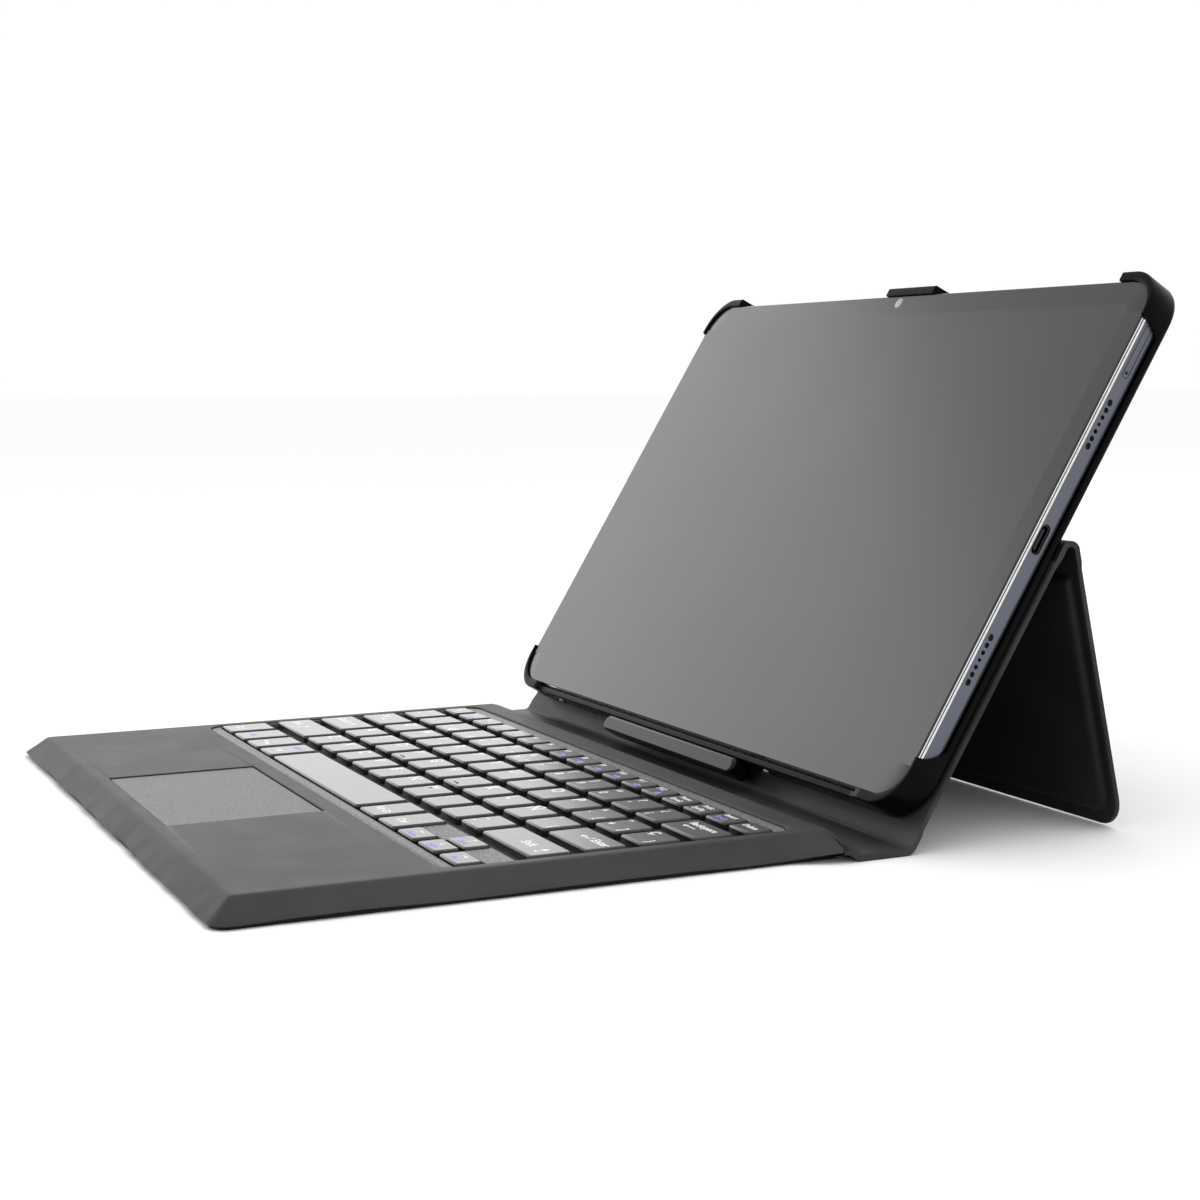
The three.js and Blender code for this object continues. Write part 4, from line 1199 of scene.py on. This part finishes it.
def side_pill(y, z, length, width, x0, x1, steps=6):
    """A pill-shaped bar through the tablet's right edge, long along Y."""
    radius = width / 2 - 0.001
    outline = rounded_ring(y - length / 2, z - width / 2, y + length / 2, z + width / 2, radius, steps)
    return stack([[(x, py, pz) for py, pz in outline] for x in (x0, x1)])


def build_tablet():
    edge = TABLET_HALF
    box = (-edge, 0, edge, TABLET_HEIGHT)
    levels = [(2.4, -TABLET_THICK), (1.3, -TABLET_THICK + 0.12), (0.6, -TABLET_THICK + 0.5),
              (0.18, -TABLET_THICK + 1.1), (0, -TABLET_THICK + 1.9), (0, -1.5), (0.4, -1.1), (0.44, -1.08),
              (0.47, -0.82), (0.5, -0.8), (0.72, -0.56), (1.2, -0.56)]
    bands = [0, 0, 0, 0, 0, 1, 2, 2, 2, 1, 2]
    rings = [inset_ring(box, TABLET_CORNER, inset, z, 12) for inset, z in levels]
    verts, faces = stack(rings)
    slots = [band for band in bands for _ in range(len(rings[0]))] + [0, 2]
    metal = [ANODISED, POLISHED, GASKET]
    housing = mesh_object("tablet_housing_metal", verts, faces, TRAY, metal, slots)
    holes = [side_pill(y + along, SPEAKER_Z, long, wide, edge - 1.4, edge + 2)
             for y in SPEAKERS for along, long, wide in SPEAKER_HOLES]
    holes.append(side_pill(USB_Y, USB_Z, 9.3, 3.1, edge - 7, edge + 2, 8))
    holes.append(side_pill(SIM_Y, SIM_Z, 16.8, 2.2, edge - 1.2, edge + 2, 8))
    cut(housing, (*merged(holes), TRAY))
    round_off(housing, 25)
    show(housing, "tray", "anodised", "tablet_housing")

    inset, bezel = 0.65, 7.6
    glass_levels = [(0.12, -0.5), (0, -0.34), (0.05, -0.16), (0.18, -0.05), (0.4, 0), (bezel, 0),
                    (bezel + 1, 0)]
    shrunk = (box[0] + inset, inset, box[2] - inset, TABLET_HEIGHT - inset)
    rings = [inset_ring(shrunk, TABLET_CORNER - inset, i, z, 12, least=2.5)
             for i, z in glass_levels]
    verts, faces = stack(rings)
    count = len(rings[0])
    slots = [0] * (5 * count) + [1] * count + [0, 1]
    glass = mesh_object("tablet_screen", verts, faces, TRAY, [BEZEL, SCREEN], slots, sharp=50)
    show(glass, "tray", "screen_glass", "tablet_glass")
    build_tablet_details(edge)


def build_tablet_details(edge):
    ring_outer = side_pill(USB_Y, USB_Z, 9.1, 2.9, edge - 6.4, edge - 0.5, 8)
    shell = mesh_object("usb_socket_shell", *ring_outer, TRAY, [DARK_STEEL])
    cut(shell, (*side_pill(USB_Y, USB_Z, 8.5, 2.3, edge - 6, edge + 1, 8), TRAY))
    round_off(shell)
    show(shell, "tray", "steel", "tablet_usb_port")
    tongue = side_pill(USB_Y, USB_Z, 6.6, 0.7, edge - 5.9, edge - 0.9, 4)
    board = mesh_object("usb_socket_tongue", *tongue, TRAY, [GASKET], sharp=40)
    show(board, "tray", "shell_plastic")
    contacts = [side_pill(USB_Y - 2.75 + 0.5 * i, USB_Z, 0.28, 0.78, edge - 4.5, edge - 1.3, 1)
                for i in range(12)]
    pins = mesh_object("usb_socket_contacts", *merged(contacts), TRAY, [CONTACT], sharp=40)
    show(pins, "tray", "steel")

    slider = side_pill(SIM_Y, SIM_Z, 16.4, 1.8, edge - 1.1, edge - 0.03, 8)
    card = mesh_object("sim_card_tray", *slider, TRAY, [ANODISED])
    cut(card, (*side_pill(SIM_Y - 6.8, SIM_Z, 0.95, 0.95, edge - 0.8, edge + 1, 6), TRAY))
    round_off(card)
    show(card, "tray", "anodised", "tablet_sim_tray")

    dome = stack([circle(0, LENS_Y, radius, z)
                  for radius, z in ((1.9, -0.02), (1.8, 0.02), (1.0, 0.045), (0.2, 0.05))])
    lens = mesh_object("front_camera_lens", *dome, TRAY, [FRONT_LENS], sharp=60)
    show(lens, "tray", "screen_glass", "tablet_front_camera")
    build_rear_camera()


def circle(x, y, radius, z):
    angles = [2 * math.pi * i / LENS_SIDES for i in range(LENS_SIDES)]
    return [(x + radius * math.cos(a), y + radius * math.sin(a), z) for a in angles]


def build_rear_camera():
    low, high = -TABLET_THICK - 1.5, -TABLET_THICK - 0.1
    plate = soft_slab(camera_window(CAMERA_Y, -1.6), 4, low, high, 0.45, 8)
    island = mesh_object("rear_camera_plate", *plate, TRAY, [ANODISED], sharp=40)
    show(island, "tray", "anodised", "tablet_rear_camera")

    def discs(radius, levels):
        """Two discs, one for each camera. levels gives each ring's inset and its height over the plate."""
        return merged([stack([circle(CAMERA_X, CAMERA_Y + dy, radius - inset, low + z)
                              for inset, z in levels]) for dy in (-6, 6)])

    rings = discs(4.3, [(0.6, -0.42), (0.15, -0.3), (0, -0.05), (0, 0.2)])
    trim = mesh_object("rear_camera_rings", *rings, TRAY, [POLISHED], sharp=30)
    show(trim, "tray", "anodised")
    eyes = discs(3.3, [(1.2, -0.5), (0.2, -0.46), (0, -0.4), (0, -0.2)])
    glass = mesh_object("rear_camera_lenses", *eyes, TRAY, [LENS], sharp=40)
    show(glass, "tray", "screen_glass")


def finish_inner_pieces():
    """The CAD pieces that stay as they are get their materials."""
    groups = ((CIRCUIT, ("membrane_sheet", "controller_board")),
              (CELL, ("battery_left", "battery_right")),
              (STEEL, ("magnet_left", "magnet_right", "rivet_left", "rivet_right")),
              (BOARD, ("back_board", "stand_board")))
    for material, names in groups:
        for name in names:
            paint(name, material)


build_base_wrap()
build_base_cover()
build_plate()
build_deck()
build_touchpad()
build_keys()
build_ports()
build_spine_front()
build_spine_back()
build_stand_fold()
build_back_panel()
build_stand()
build_tray()
build_docking_bar()
build_tablet()
finish_inner_pieces()
